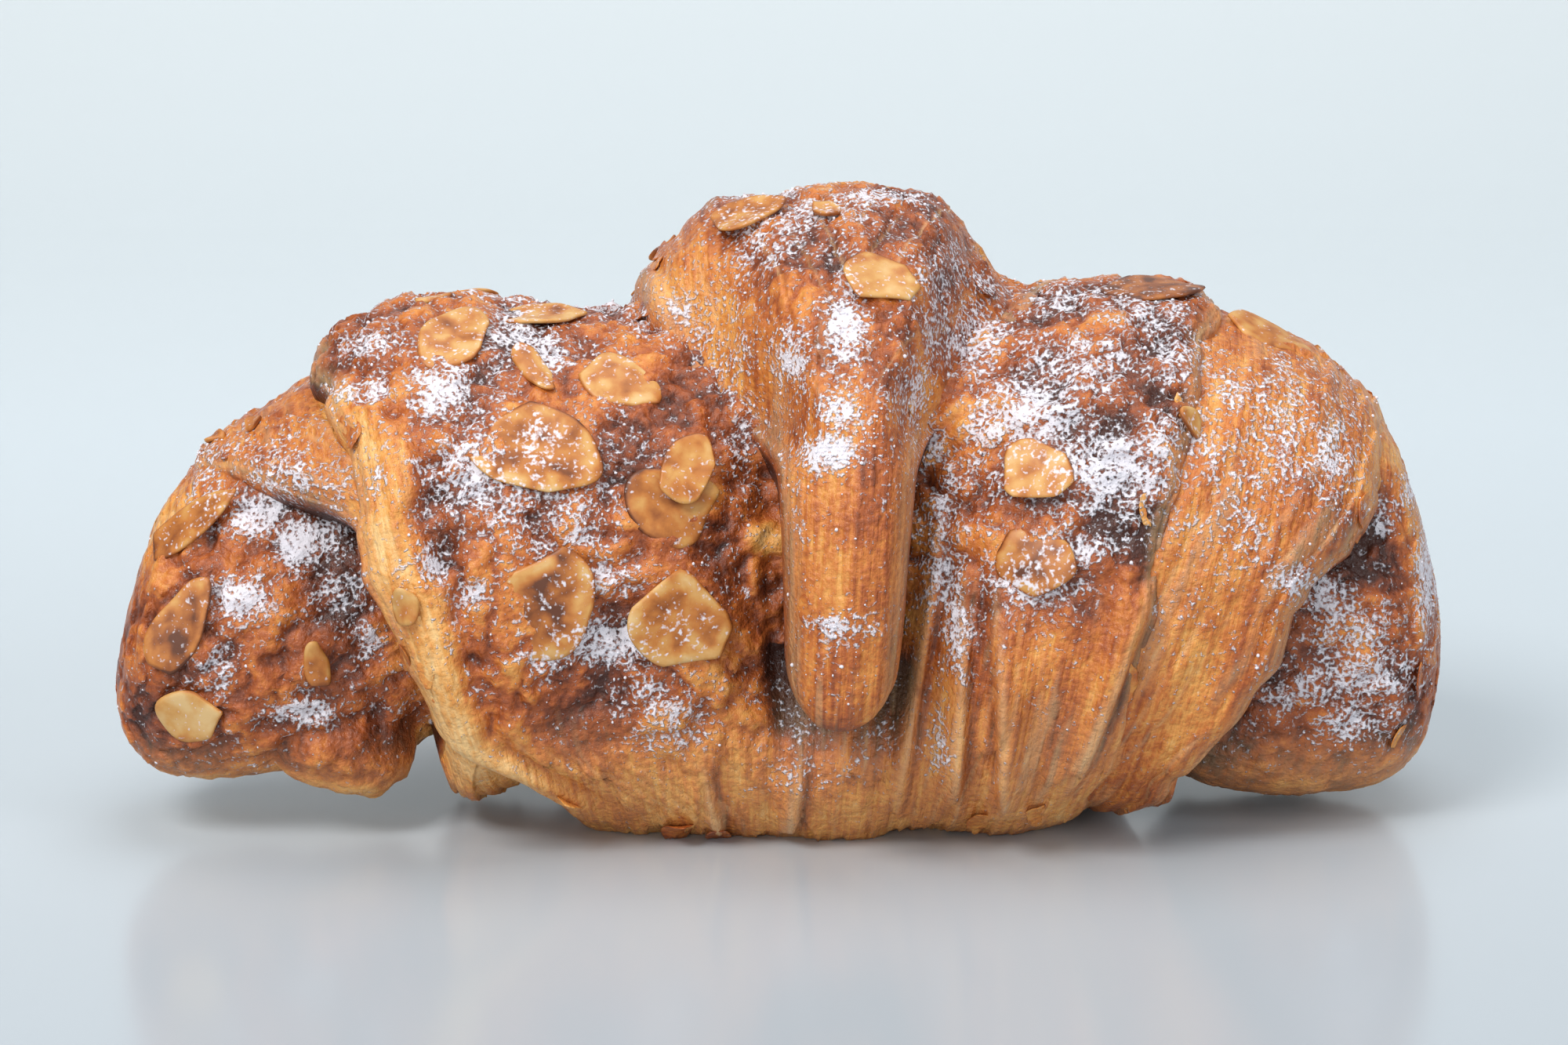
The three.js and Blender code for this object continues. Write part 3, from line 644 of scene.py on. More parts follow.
def pleats(u, roll):
    """Folds that rise slowly and drop sharply: their height, pale edges and the lines of painted shade below
    these.
    """
    height, pale, dark = np.zeros((3, *np.broadcast(u, roll).shape))
    for (u_low, roll_low), (u_high, roll_high), rise, facing in PLEATS:
        share = (roll - roll_low) / (roll_high - roll_low)
        inside = fade(*PLEAT_IN, share) * fade(*PLEAT_OUT, share)
        offset = facing * (u - u_low - (u_high - u_low) * share)
        height = height + rise * inside * fade(*PLEAT_SLOPE, offset) * fade(*PLEAT_DROP, offset)
        pale = pale + inside * bell(offset - PLEAT_PALE[0], PLEAT_PALE[1])
        dark = dark + inside * bell(offset - PLEAT_SHADE_LINE[0], PLEAT_SHADE_LINE[1])
    return height, pale, dark


PRESSED_DEPTH = 1.2
PRESSED_SHARE = 0.75
PRESSED_RIM = (1.2, 0.7)


def pressed(u, roll):
    """Where slices of almond have pressed the paste flat, from 0 to 1."""
    most = np.zeros(np.broadcast(u, roll).shape)
    for station, clock, length, *_ in FRONT_SLICES + BACK_SLICES:
        turn = (roll - clock + HALF_TURN) % TURN - HALF_TURN
        away = np.hypot(u - station, turn * RAD * MEAN_RADIUS) / (0.5 * length)
        most = np.maximum(most, fade(*PRESSED_RIM, away))
    return most


# Where paste starts and ends on the lobes by roll angle, and the bare strip of dough along their edges
PASTE_LEFT = (228, 250)
PASTE_RIGHT = (255, 280)
PASTE_BACK = (470, 430)
PASTE_RAGGED = 4.0
PASTE_CELL = (7, 12)
STRIP_WIDTH = 7.5
STRIP_RIGHT = 1.0
STRIP_END = (330, 305)
STRIP_SOFT = 1.5


def paste_cover(u, roll, from_edge):
    """Where the almond paste lies on the lobes: off the dough's edges and off the belly."""
    on_left = u < TONGUE_U
    side = np.where(on_left, fade(*PASTE_LEFT, roll), fade(*PASTE_RIGHT, roll))
    ragged = swing(layered_noise(u / PASTE_CELL[0], roll / PASTE_CELL[1], 2.0, 3), PASTE_RAGGED)
    strip = np.where(on_left, STRIP_WIDTH * fade(*STRIP_END, roll), STRIP_RIGHT)
    return side * fade(strip - STRIP_SOFT, strip + STRIP_SOFT, from_edge + ragged) * fade(*PASTE_BACK, roll)


# The edges of a wrap: thin steps of dough, wandering a little, paler at the cut and browner at the rim
PAST_END = 99.0
STEP_WAVE = 0.9
STEP_CELL = 11.0
STEP_POWER = 5
LAMINATED_CELL = 20.0
LAMINATED = (0.3, 0.6)
EDGE_WANDER = 2.4
WANDER_CELL = 13.0
WANDER_INSET = (14, 0)
WANDER_START = (-62, -35)
EDGE_SMOOTH = 0.4
EDGE_TOAST = 0.12
EDGE_RIM = (0.5, 1.0)
EDGE_BARE = 0.3
PALE_EDGE = (3.0, 0.9)
PALE_RIM = (0.0, 0.7)
PALE_CUT = 0.6
PALE_FLAT = 0.3
FOOT_DROPS = (2.0, 5.0)
ROOT_COLUMNS = 24


def wrap_columns(wrap, rolls, middle, lips):
    """Stations across a wrap for each roll angle, closer together in the rounded edges."""
    left = wrap.reach(rolls, -PAST_END)
    right = wrap.reach(rolls, PAST_END)
    lip = np.minimum(np.minimum(LIP_WIDTH(rolls), left), right)
    share = np.linspace(0, 1, lips, endpoint=False)[None]
    inner = np.linspace(0, 1, middle + 1)[None]
    parts = [-left + lip * share, lip - left + (left + right - 2 * lip) * inner,
             right - lip + lip * (1 - share[:, ::-1])]
    return TONGUE_U + np.concatenate(parts, 1)


def laminated_edge(edge, along, side):
    """The rounded edge of a wrap cut into thin steps of dough, and the height within each step."""
    wavy = swing(layered_noise(along / STEP_CELL, side * 3.0, 1.0, 3), STEP_WAVE)
    stair = np.clip(edge * LAMINATION_STEPS + wavy, 0, LAMINATION_STEPS)
    part = stair - np.floor(stair)
    stepped = (np.floor(stair) + part ** STEP_POWER) / LAMINATION_STEPS
    laminated = fade(*LAMINATED, layered_noise(along / LAMINATED_CELL, side, 5.0, 2))
    return np.clip(edge + (stepped - edge) * laminated, 0, 1), part


def wrap_piece(name, wrap, counts, dress, material):
    """A wrap as a closed body: dressed crust outside, its edges' feet in the darkest colour as painted shade
    under the edges, and a plain root inside the loaf.
    """
    rows, middle, lips = counts
    first = wrap.start + END_INSET if wrap is OUTER_WRAP else wrap.start - TUCK_ANGLE
    rolls = np.linspace(first, wrap.end + TUCK_ANGLE, rows)[:, None]
    u = wrap_columns(wrap, rolls, middle, lips)
    roll = np.broadcast_to(rolls, u.shape)
    reach = wrap.reach(roll, u)
    from_edge = np.maximum(reach - np.abs(u - TONGUE_U), 0)
    along = roll * RAD * MEAN_RADIUS
    side = np.sign(u - TONGUE_U)
    edge = np.clip(1 - from_edge / lip_width(roll, reach), 0, 1)
    edge_shape, step = laminated_edge(edge, along, side)
    base = spiral_radius(wrap, u, roll, reach)
    wander = EDGE_WANDER * (2 * layered_noise(along / WANDER_CELL, side * 2.0 + 4, 9.0, 3) - 1)
    u = u + wander * fade(*WANDER_INSET, from_edge) * fade(*WANDER_START, roll)
    depth, darkness, pale, fibre = dress(u, roll, along, from_edge, roll_point(u, roll, base))
    radius = base - lip_fall(edge_shape, u, roll) - depth * (1 - EDGE_SMOOTH * edge)
    cut = PALE_CUT * fade(*PALE_EDGE, from_edge) * (PALE_FLAT + (1 - PALE_FLAT) * step)
    pale = np.maximum(pale, cut) * fade(*PALE_RIM, from_edge)
    points = roll_point(u, roll, radius)
    normal = surface_normals(points)
    # Spots of browning, painted shade and painted light, and browner rims.
    darkness = darkness + spot_sum(points, BROWNING_LIGHT_AND_SHADE_SPOTS, False) + EDGE_TOAST * fade(*EDGE_RIM, edge)
    sugar = sugar_cover(points, normal[..., 2]) * (1 - EDGE_BARE * edge)
    foot = [roll_point(u[:, [column]], rolls, radius[:, [column]] - drop)
            for column in (-1, 0) for drop in FOOT_DROPS]
    root_u = u[:, np.linspace(u.shape[1] - 1, 0, ROOT_COLUMNS).astype(int)]
    root = roll_point(root_u, rolls, WRAP_ROOT * CORE_RADIUS(root_u))
    loop = np.concatenate([points, foot[0], foot[1], root, foot[3], foot[2], points[:, :1]], 1)
    hidden = loop.shape[1] - u.shape[1]
    mesh = grid_mesh(name, loop)

    def widen(values, fill=0.0):
        return np.concatenate([values, np.full((rows, hidden - 1), fill), values[:, :1]], 1)
    # The feet and root take the darkest colour: painted shade on the walls under the dough's edges.
    add_attribute(mesh, "darkness", widen(darkness, 1.0))
    add_attribute(mesh, "pale", widen(pale))
    add_attribute(mesh, "fibre", widen(fibre))
    add_attribute(mesh, "sugar", widen(sugar))
    add_dough_map(mesh, widen(u), widen(along))
    return finish_piece(name, mesh, material), points, normal, sugar


# How each wrap is dressed: depth of its relief in mm, darkness from 0 to 1 for browning and painted shade,
# pale layers and fibre.
# STREAKS, PASTE, FLAKES and LEAVES are depths, BROWN is the mean browning, and PATCHES and THREADS are how
# far tone and streaks swing it. The pit constants swing it with the crags: painted shade, darker in their
# pits.

DOME_STREAKS = 0.9
DOME_PASTE = 1.6
DOME_FLAKES = 0.9
DOME_LEAVES = 0.5
DOME_RAGGED = 8
DOME_RAGGED_CELL = 6
DOME_RAGGED_ROLL = 3
DOME_BARE_EDGE = (5, 11)
DOME_PASTE_START = (-62, -30)
DOME_LEAF_START = (-70, -30)
DOME_LEAF_INSET = (12, 4)
DOME_TONE_CELL = (6, 18)
DOME_BROWN = 0.45
DOME_PATCHES = 0.5
DOME_THREADS = 0.3
DOME_PASTE_BROWN = 0.14
DOME_PIT_SHADE = 0.7
DOME_CREST = (0.62, 0.75)
TIP_TOAST = 0.35
TIP_TOAST_ROLL = 4
PALE_CREST = 0.35
PALE_LEAF = 0.5
# A small shelf on the dome: its middle, its size in mm across and in degrees along, and its rise
SHELF_U = -6.0
SHELF_ROLL = 2.0
SHELF_SIZE = (5, 12)
SHELF_RISE = 2.6


def dress_dome(u, roll, along, from_edge, place):
    """Smooth streaked dough along the tongue, and rough paste with a small shelf on the dome, darkened in its
    pits with painted shade.
    """
    ridges = streaks(u, along, 3.0)
    flakes = flake_steps(u, along, 4)
    rough = crags(place, 5.0)
    leaf, leaf_end = leaves(from_edge, along, 2.0)
    ragged = swing(layered_noise(u / DOME_RAGGED_CELL, along / DOME_RAGGED_CELL, 8.0, 3), DOME_RAGGED)
    flank = np.where(u < TONGUE_U, fade(*DOME_BARE_EDGE, from_edge + ragged), 1.0)
    crusty = fade(*DOME_PASTE_START, roll + DOME_RAGGED_ROLL * ragged) * flank
    leafy = fade(*DOME_LEAF_START, roll)
    paste_depth = DOME_PASTE * (1 - rough) + DOME_FLAKES * (1 - flakes)
    depth = (1 - crusty) * DOME_STREAKS * (1 - ridges) + crusty * paste_depth
    depth = depth - DOME_LEAVES * leaf * leafy * fade(*DOME_LEAF_INSET, from_edge)
    depth = depth + skin_relief(place, crusty)
    depth = depth - SHELF_RISE * bell(u - SHELF_U, SHELF_SIZE[0], roll - SHELF_ROLL, SHELF_SIZE[1])
    tone = layered_noise(u / DOME_TONE_CELL[0], along / DOME_TONE_CELL[1], 9.0, 3)
    darkness = DOME_BROWN + swing(tone, DOME_PATCHES) + swing(ridges, DOME_THREADS) * (1 - crusty)
    # Darker in the paste's pits: painted shade.
    darkness = darkness + crusty * (DOME_PASTE_BROWN + DOME_PIT_SHADE * (0.5 - rough))
    darkness = darkness + TIP_TOAST * fade(TONGUE_TIP + TIP_TOAST_ROLL, TONGUE_TIP, roll)
    pale = PALE_CREST * fade(*DOME_CREST, ridges) * (1 - crusty) + PALE_LEAF * leaf_end * leafy
    return depth, darkness, pale, 1 - crusty


LOBE_PASTE = 3.0
LOBE_STREAKS = 0.8
LOBE_FLAKES = 1.2
LOBE_LEAVES = 0.4
LOBE_FOLLOW = (24, 12)
LOBE_FOLLOW_U = 60
BELLY = (258, 236)
BELLY_PALE = 0.15
BELLY_BROWN = 0.05
LOBE_TONE_CELL = 8
LOBE_BROWN = 0.42
LOBE_PATCHES = 0.35
LOBE_THREADS = 0.4
LOBE_PASTE_BROWN = 0.62
LOBE_PASTE_PATCHES = 0.4
LOBE_PIT_SHADE = 0.8
LOBE_LEAF_PALE = 0.4
FOLD_PAINTED_SHADE = 0.3
FOLD_PALE = 0.5
GROOVE_INSET = 1.5
GROOVE_WIDTH = 1.8
GROOVE_IN = (215, 235)
GROOVE_OUT = (325, 290)
GROOVE_DEPTH = 1.3
GROOVE_PAINTED_SHADE = 0.15
BELOW_TIP = (-100, -112)
GAP_RIM = (4.0, 1.8)
GAP_ASIDE = 1.3
GAP_SHORT = 0.42
GAP_START = (-40, -62)
GAP_DEPTH = 1.0
GAP_TIP_DEPTH = 2.0
GAP_PAINTED_SHADE = 0.62


def dress_lobes(u, roll, along, from_edge, place):
    """Rough paste pressed flat under the slices, bare pleated dough low in front, and a gap by the tongue,
    with painted shade in the gap under the tongue's tip, in the left groove, in the creases below the folds
    and in the paste's pits.
    """
    paste = paste_cover(u, roll, from_edge)
    side = np.sign(u - TONGUE_U)
    across = u + (side * (LOBE_FOLLOW_U - from_edge) + TONGUE_U - u) * fade(*LOBE_FOLLOW, from_edge)
    ridges = streaks(across, along, 6.0)
    leaf, leaf_end = leaves(from_edge, along, 3.0)
    rough = crags(place, 2.0)
    belly = fade(*BELLY, roll)
    flakes = flake_steps(u, along, 9)
    bare_depth = LOBE_STREAKS * (1 - ridges) + LOBE_FLAKES * belly * (1 - flakes)
    depth = paste * LOBE_PASTE * (1 - rough) + (1 - paste) * bare_depth
    depth = depth + skin_relief(place, paste)
    depth = depth + (PRESSED_DEPTH - depth) * PRESSED_SHARE * pressed(u, roll)
    fold_rise, fold_pale, fold_shade = pleats(u, roll)
    depth = depth - fold_rise - LOBE_LEAVES * leaf * (1 - paste)
    groove = bell(from_edge - STRIP_WIDTH - GROOVE_INSET, GROOVE_WIDTH)
    groove = groove * fade(*GROOVE_IN, roll) * fade(*GROOVE_OUT, roll)
    below_tip = fade(*BELOW_TIP, roll - TURN)
    aside, short = tongue_gap(u, roll)
    gap = fade(*GAP_RIM, np.hypot(GAP_ASIDE * aside, GAP_SHORT * short)) * fade(*GAP_START, roll - TURN)
    depth = depth + GROOVE_DEPTH * groove * (u < TONGUE_U) + (GAP_DEPTH + GAP_TIP_DEPTH * below_tip) * gap
    tone = layered_noise(u / LOBE_TONE_CELL, along / LOBE_TONE_CELL, 4.0, 3)
    bare_tone = LOBE_BROWN + swing(tone, LOBE_PATCHES) + swing(ridges, LOBE_THREADS) - BELLY_BROWN * belly
    # Darker in the paste's pits: painted shade.
    paste_tone = LOBE_PASTE_BROWN + swing(tone, LOBE_PASTE_PATCHES) + LOBE_PIT_SHADE * (0.5 - rough)
    # The groove beside the bare strip is dipped and darkened with painted shade.
    darkness = bare_tone + (paste_tone - bare_tone) * paste + GROOVE_PAINTED_SHADE * groove
    # Painted shade in the gap under the tongue's tip and in the creases below the folds.
    darkness = darkness + GAP_PAINTED_SHADE * below_tip * gap + FOLD_PAINTED_SHADE * fold_shade
    bare_pale = BELLY_PALE * belly + PALE_CREST * fade(*CREST, ridges) + LOBE_LEAF_PALE * leaf_end
    return depth, darkness, (1 - paste) * bare_pale + FOLD_PALE * fold_pale, 1 - paste


BAND_STREAKS = 0.9
BAND_LEAVES = 0.7
BAND_SINK = 0.8
BAND_SINK_U = (-48, -58)
BAND_TONE_CELL = (8, 24)
BAND_BROWN = 0.44
BAND_PATCHES = 0.35
BAND_THREADS = 0.45
BAND_CREST = (0.55, 0.7)


def dress_bands(u, roll, along, from_edge, place):
    """Bare dough with streaks and leaves along its edges."""
    ridges = streaks(from_edge * np.sign(u - TONGUE_U), along, 12.0)
    leaf, leaf_end = leaves(from_edge, along, 8.0)
    depth = BAND_STREAKS * (1 - ridges) - BAND_LEAVES * leaf + skin_relief(place, 0.0)
    depth = depth + BAND_SINK * fade(*BAND_SINK_U, u)
    tone = layered_noise(u / BAND_TONE_CELL[0], along / BAND_TONE_CELL[1], 14.0, 3)
    darkness = BAND_BROWN + swing(tone, BAND_PATCHES) + swing(ridges, BAND_THREADS)
    pale = PALE_CREST * fade(*BAND_CREST, ridges) + PALE_LEAF * leaf_end
    return depth, darkness, pale, np.ones(u.shape)


# The core and its two blunt tips, with paste that has run out under the left one

CORE_ROWS = 260
CORE_COLUMNS = 300
CORE_GIRTH = 20
MOUTH_DEPTH = 1.0
MOUTH_WIDTH = 9.0
MOUTH_TOP = (330, 300)
MOUTH_PAINTED_SHADE = 0.2
TIP_RELIEF = 2.4
TIP_CENTRE = (0, 6)
FILLING_U = -59.0
FILLING_CLOCK = 216.0
FILLING_GIRTH = 22
FILLING_SIZE = 7.5
FILLING_RISE = 3.5
UNDER_HEIGHT = (15, 6)
UNDER_SMOOTH = 0.8
UNDER_SKIN = 0.5
UNDER_PALE = 0.3
UNDER_FIBRE = 0.5
UNDER_BROWN = 0.2
RIM_START = (0.3, 0.9)
RIM_STREAKS = 0.8
RIM_SINK = 1.2
RIM_SINK_U = (-50, -62)
RIM_PALE = 0.3
RIM_CREST = (0.6, 0.75)
RIM_BROWN = 0.16
CORE_TONE_CELL = 8
CORE_BROWN = 0.66
CORE_PATCHES = 0.4
CORE_PIT_SHADE = 0.7


def core_piece(name, material):
    """The core as one closed ball of rings, dressed as paste on its tips and as bare dough over the rim."""
    half = (RIGHT_END - LEFT_END) / 2 - END_INSET
    turn = np.linspace(0, np.pi, CORE_ROWS)
    u = ((LEFT_END + RIGHT_END) / 2 - half * np.cos(turn))[:, None]
    clock = np.linspace(0, TURN, CORE_COLUMNS)[None]
    u, clock = np.broadcast_arrays(u, clock)
    ring = clock % TURN
    along = clock * RAD * CORE_GIRTH
    roll = np.where(ring < HALF_TURN, ring + 2 * TURN, ring + TURN)
    beyond = np.abs(u - TONGUE_U) - INNER_WRAP.reach(np.clip(roll, INNER_WRAP.start, INNER_WRAP.end), u)
    # The mouth under the inner wrap's edge is dipped in the relief and darkened with painted shade.
    mouth = bell(np.maximum(beyond, 0), MOUTH_WIDTH) * np.where(ring > HALF_TURN, fade(*MOUTH_TOP, ring), 0.0)
    smooth = core_radius(u, clock)
    place = roll_point(u, clock, smooth)
    rough = crags(place, 7.0)
    ridges = streaks(u, along, 5.0)
    rim = fade(*RIM_START, over_top(clock))
    aside = np.hypot(u - FILLING_U, (clock - FILLING_CLOCK) * RAD * FILLING_GIRTH)
    filling = FILLING_RISE * np.sqrt(np.clip(1 - (aside / FILLING_SIZE) ** 2, 0, 1))
    under = fade(*UNDER_HEIGHT, place[..., 2])
    depth = (1 - rim) * (1 - UNDER_SMOOTH * under) * TIP_RELIEF * (1 - rough)
    depth = depth + rim * RIM_STREAKS * (1 - ridges) + MOUTH_DEPTH * mouth - filling
    depth = depth + skin_relief(place, 1.0) * (1 - UNDER_SKIN * under) + RIM_SINK * rim * fade(*RIM_SINK_U, u)
    radius = np.maximum(smooth - depth * fade(*TIP_CENTRE, smooth), END_INSET)
    points = roll_point(u, clock, radius)
    points[:, -1] = points[:, 0]
    normal = surface_normals(points)
    darkness = CORE_BROWN + swing(place_noise(place, CORE_TONE_CELL), CORE_PATCHES)
    # Darker in the paste's pits: painted shade.
    darkness = darkness + CORE_PIT_SHADE * (0.5 - rough) * (1 - rim) + MOUTH_PAINTED_SHADE * mouth
    # The spots add browning, painted shade and painted light.
    darkness = darkness - UNDER_BROWN * under - RIM_BROWN * rim + spot_sum(points, BROWNING_LIGHT_AND_SHADE_SPOTS, False)
    sugar = sugar_cover(points, normal[..., 2])
    mesh = grid_mesh(name, points)
    add_attribute(mesh, "darkness", darkness)
    add_attribute(mesh, "pale", UNDER_PALE * under + RIM_PALE * rim * fade(*RIM_CREST, ridges))
    add_attribute(mesh, "fibre", np.maximum(rim, UNDER_FIBRE * under))
    add_attribute(mesh, "sugar", sugar)
    add_dough_map(mesh, u, along)
    return finish_piece(name, mesh, material), points, normal, sugar


# Materials

def colour(code):
    """Linear colour of an sRGB hex code."""
    parts = [int(code[i:i + 2], 16) / 255 for i in (0, 2, 4)]
    linear = [c / 12.92 if c <= 0.04045 else ((c + 0.055) / 1.055) ** 2.4 for c in parts]
    return (*linear, 1.0)


def add_node(tree, kind, settings=None, values=None, links=None):
    """Adds a node, sets its options and socket values, and links other nodes' outputs into it."""
    node = tree.nodes.new(kind)
    for name, value in (settings or {}).items():
        setattr(node, name, value)
    for socket, value in (values or {}).items():
        node.inputs[socket].default_value = value
    for socket, source in (links or {}).items():
        tree.links.new(source, node.inputs[socket])
    return node


def new_material(name):
    """An empty material with its shader."""
    material = bpy.data.materials.new(name)
    material.use_nodes = True
    tree = material.node_tree
    tree.nodes.clear()
    shader = add_node(tree, "ShaderNodeBsdfPrincipled")
    add_node(tree, "ShaderNodeOutputMaterial", links={"Surface": shader.outputs["BSDF"]})
    return material, tree, shader


def set_ramp(node, stops):
    """Sets the places and colours of a colour ramp."""
    ramp = node.color_ramp
    while len(ramp.elements) < len(stops):
        ramp.elements.new(0.5)
    for element, (place, code) in zip(ramp.elements, stops):
        element.position = place
        element.color = colour(code)


def read_attribute(tree, name):
    """Number stored for each point of a piece."""
    return add_node(tree, "ShaderNodeAttribute", {"attribute_name": name}).outputs["Fac"]


def add_noise(tree, place, size_mm, detail):
    """Noise on Object coordinates with a grain of this size."""
    return add_node(tree, "ShaderNodeTexNoise", values={"Scale": 1 / (size_mm * MM), "Detail": detail},
                    links={"Vector": place}).outputs["Fac"]


def work_out(tree, operation, *terms, clamp=False):
    """Maths on some terms: a number is set on the node's own socket, another node's output is linked."""
    numbers = {socket: term for socket, term in enumerate(terms) if isinstance(term, float)}
    outputs = {socket: term for socket, term in enumerate(terms) if not isinstance(term, float)}
    return add_node(tree, "ShaderNodeMath", {"operation": operation, "use_clamp": clamp}, numbers,
                    outputs).outputs[0]


def cover_with(tree, share, below, code):
    """Colour laid over another one by its share."""
    return add_node(tree, "ShaderNodeMix", {"data_type": "RGBA"}, {"B": colour(code)},
                    {"Factor": share, "A": below}).outputs["Result"]


def add_bump(tree, shader, height, strength, distance_mm):
    """Fine unevenness of a finish, too small for the mesh."""
    bump = add_node(tree, "ShaderNodeBump", values={"Strength": strength, "Distance": distance_mm * MM},
                    links={"Height": height})
    tree.links.new(bump.outputs["Normal"], shader.inputs["Normal"])


# Finishes: grain sizes in mm, and how much each grain browns, lifts or whitens what it lies on
BROWNING = [(0.0, "f0c484"), (0.25, "e09c4e"), (0.45, "c97634"), (0.62, "a65526"), (0.82, "74381e"),
            (1.0, "432015")]
PALE_DOUGH = "e6bd88"
PALE_GAIN = 1.5
ICING_SUGAR = "e4e2ea"
SPECK_WEIGHT = 2.2
SPECK_DETAIL = 1.5
CLUMP_WEIGHT = 0.9
CLUMP_DETAIL = 3.0
SUGAR_SHOWS = 2.02
SUGAR_HIDES_ALL = 2.42
SUGAR_WHITEST = 0.92
SUGAR_LIFT = 0.7
SUGAR_ROUGHNESS = 0.92
CRUST_GRAIN = 0.8
CRUST_GRAIN_DETAIL = 4.0
CRUST_MOTTLE = 4.0
CRUST_MOTTLE_DETAIL = 3.0
FIBRE_WIDTH = 0.8
FIBRE_LENGTH = 9
FIBRE_DETAIL = 3.0
GRAIN_BROWN = 0.48
MOTTLE_BROWN = 0.4
FIBRE_BROWN = 0.72
BROWN_SHIFT = 0.39
CRUST_SATIN = 0.36
CRUST_BUMP = 0.9
CRUST_BUMP_HEIGHT = 0.5
CRUST_IOR = 1.46


def sugar_mask(tree, place, sugar):
    """Share of white at each point: drifts where the sugar is thick, thinning out into specks."""
    speck = add_noise(tree, place, SUGAR_SPECK, SPECK_DETAIL)
    clump = add_noise(tree, place, SUGAR_CLUMP, CLUMP_DETAIL)
    cover = work_out(tree, "MULTIPLY_ADD", speck, SPECK_WEIGHT, sugar)
    cover = work_out(tree, "MULTIPLY_ADD", clump, CLUMP_WEIGHT, cover)
    limits = {"From Min": SUGAR_SHOWS, "From Max": SUGAR_HIDES_ALL, "To Max": SUGAR_WHITEST}
    return add_node(tree, "ShaderNodeMapRange", values=limits, links={"Value": cover}).outputs["Result"]


def baked_crust():
    """Egg-washed laminated dough, baked: golden to dark brown by its darkness attribute, which holds browning
    and painted shade, satin on smooth dough, with pale layers at its cut edges and matt white icing sugar in
    specks and drifts."""
    material, tree, shader = new_material("baked_crust")
    place = add_node(tree, "ShaderNodeTexCoord").outputs["Object"]
    dough = add_node(tree, "ShaderNodeUVMap", {"uv_map": "dough"}).outputs["UV"]
    darkness, pale, fibre, sugar = (read_attribute(tree, name) for name in ("darkness", "pale", "fibre", "sugar"))
    grain = add_noise(tree, place, CRUST_GRAIN, CRUST_GRAIN_DETAIL)
    mottle = add_noise(tree, place, CRUST_MOTTLE, CRUST_MOTTLE_DETAIL)
    stretch = add_node(tree, "ShaderNodeMapping", values={"Scale": (1 / FIBRE_WIDTH, 1 / FIBRE_LENGTH, 1)},
                       links={"Vector": dough}).outputs["Vector"]
    streak = add_node(tree, "ShaderNodeTexNoise", values={"Scale": 1.0, "Detail": FIBRE_DETAIL},
                      links={"Vector": stretch}).outputs["Fac"]
    thread = work_out(tree, "MULTIPLY", work_out(tree, "SUBTRACT", streak, 0.5), fibre)
    brown = work_out(tree, "MULTIPLY_ADD", grain, GRAIN_BROWN, darkness)
    brown = work_out(tree, "MULTIPLY_ADD", mottle, MOTTLE_BROWN, brown)
    brown = work_out(tree, "MULTIPLY_ADD", thread, FIBRE_BROWN, brown)
    brown = work_out(tree, "SUBTRACT", brown, BROWN_SHIFT)
    ramp = add_node(tree, "ShaderNodeValToRGB", links={"Fac": brown})
    set_ramp(ramp, BROWNING)
    paler = work_out(tree, "MULTIPLY", work_out(tree, "MULTIPLY", pale, streak), PALE_GAIN, clamp=True)
    baked = cover_with(tree, paler, ramp.outputs["Color"], PALE_DOUGH)
    dusted = sugar_mask(tree, place, sugar)
    tree.links.new(cover_with(tree, dusted, baked, ICING_SUGAR), shader.inputs["Base Color"])
    rough = add_node(tree, "ShaderNodeMapRange", values={"To Min": CRUST_SATIN, "To Max": SUGAR_ROUGHNESS},
                     links={"Value": dusted})
    tree.links.new(rough.outputs["Result"], shader.inputs["Roughness"])
    height = work_out(tree, "MULTIPLY_ADD", dusted, SUGAR_LIFT, work_out(tree, "ADD", thread, grain))
    add_bump(tree, shader, height, CRUST_BUMP, CRUST_BUMP_HEIGHT)
    shader.inputs["IOR"].default_value = CRUST_IOR
    return material


TOASTED_ALMOND = [(0.0, "d6b27a"), (0.3, "cb9652"), (0.55, "b87232"), (0.8, "8f4f20"), (1.0, "5c3018")]
ALMOND_MOTTLE = 2.2
ALMOND_DETAIL = 4.0
ALMOND_BROWN = 0.9
ALMOND_SHIFT = 0.45
ALMOND_BUMP = 0.4
ALMOND_BUMP_HEIGHT = 0.2
ALMOND_ROUGHNESS = 0.45
ALMOND_IOR = 1.47


def flaked_almond():
    """Thin slice of blanched almond, toasted: cream, browner by an attribute, smooth and slightly waxy."""
    material, tree, shader = new_material("flaked_almond")
    place = add_node(tree, "ShaderNodeTexCoord").outputs["Object"]
    darkness, sugar = (read_attribute(tree, name) for name in ("darkness", "sugar"))
    mottle = add_noise(tree, place, ALMOND_MOTTLE, ALMOND_DETAIL)
    brown = work_out(tree, "MULTIPLY_ADD", mottle, ALMOND_BROWN, darkness)
    brown = work_out(tree, "SUBTRACT", brown, ALMOND_SHIFT)
    ramp = add_node(tree, "ShaderNodeValToRGB", links={"Fac": brown})
    set_ramp(ramp, TOASTED_ALMOND)
    dusted = sugar_mask(tree, place, sugar)
    finish = cover_with(tree, dusted, ramp.outputs["Color"], ICING_SUGAR)
    tree.links.new(finish, shader.inputs["Base Color"])
    add_bump(tree, shader, mottle, ALMOND_BUMP, ALMOND_BUMP_HEIGHT)
    shader.inputs["Roughness"].default_value = ALMOND_ROUGHNESS
    shader.inputs["IOR"].default_value = ALMOND_IOR
    return material


GRAIN_ROUGHNESS = 0.85


def sugar_grain():
    """Icing sugar grain: matt white."""
    material, tree, shader = new_material("icing_sugar")
    shader.inputs["Base Color"].default_value = colour(ICING_SUGAR)
    shader.inputs["Roughness"].default_value = GRAIN_ROUGHNESS
    return material


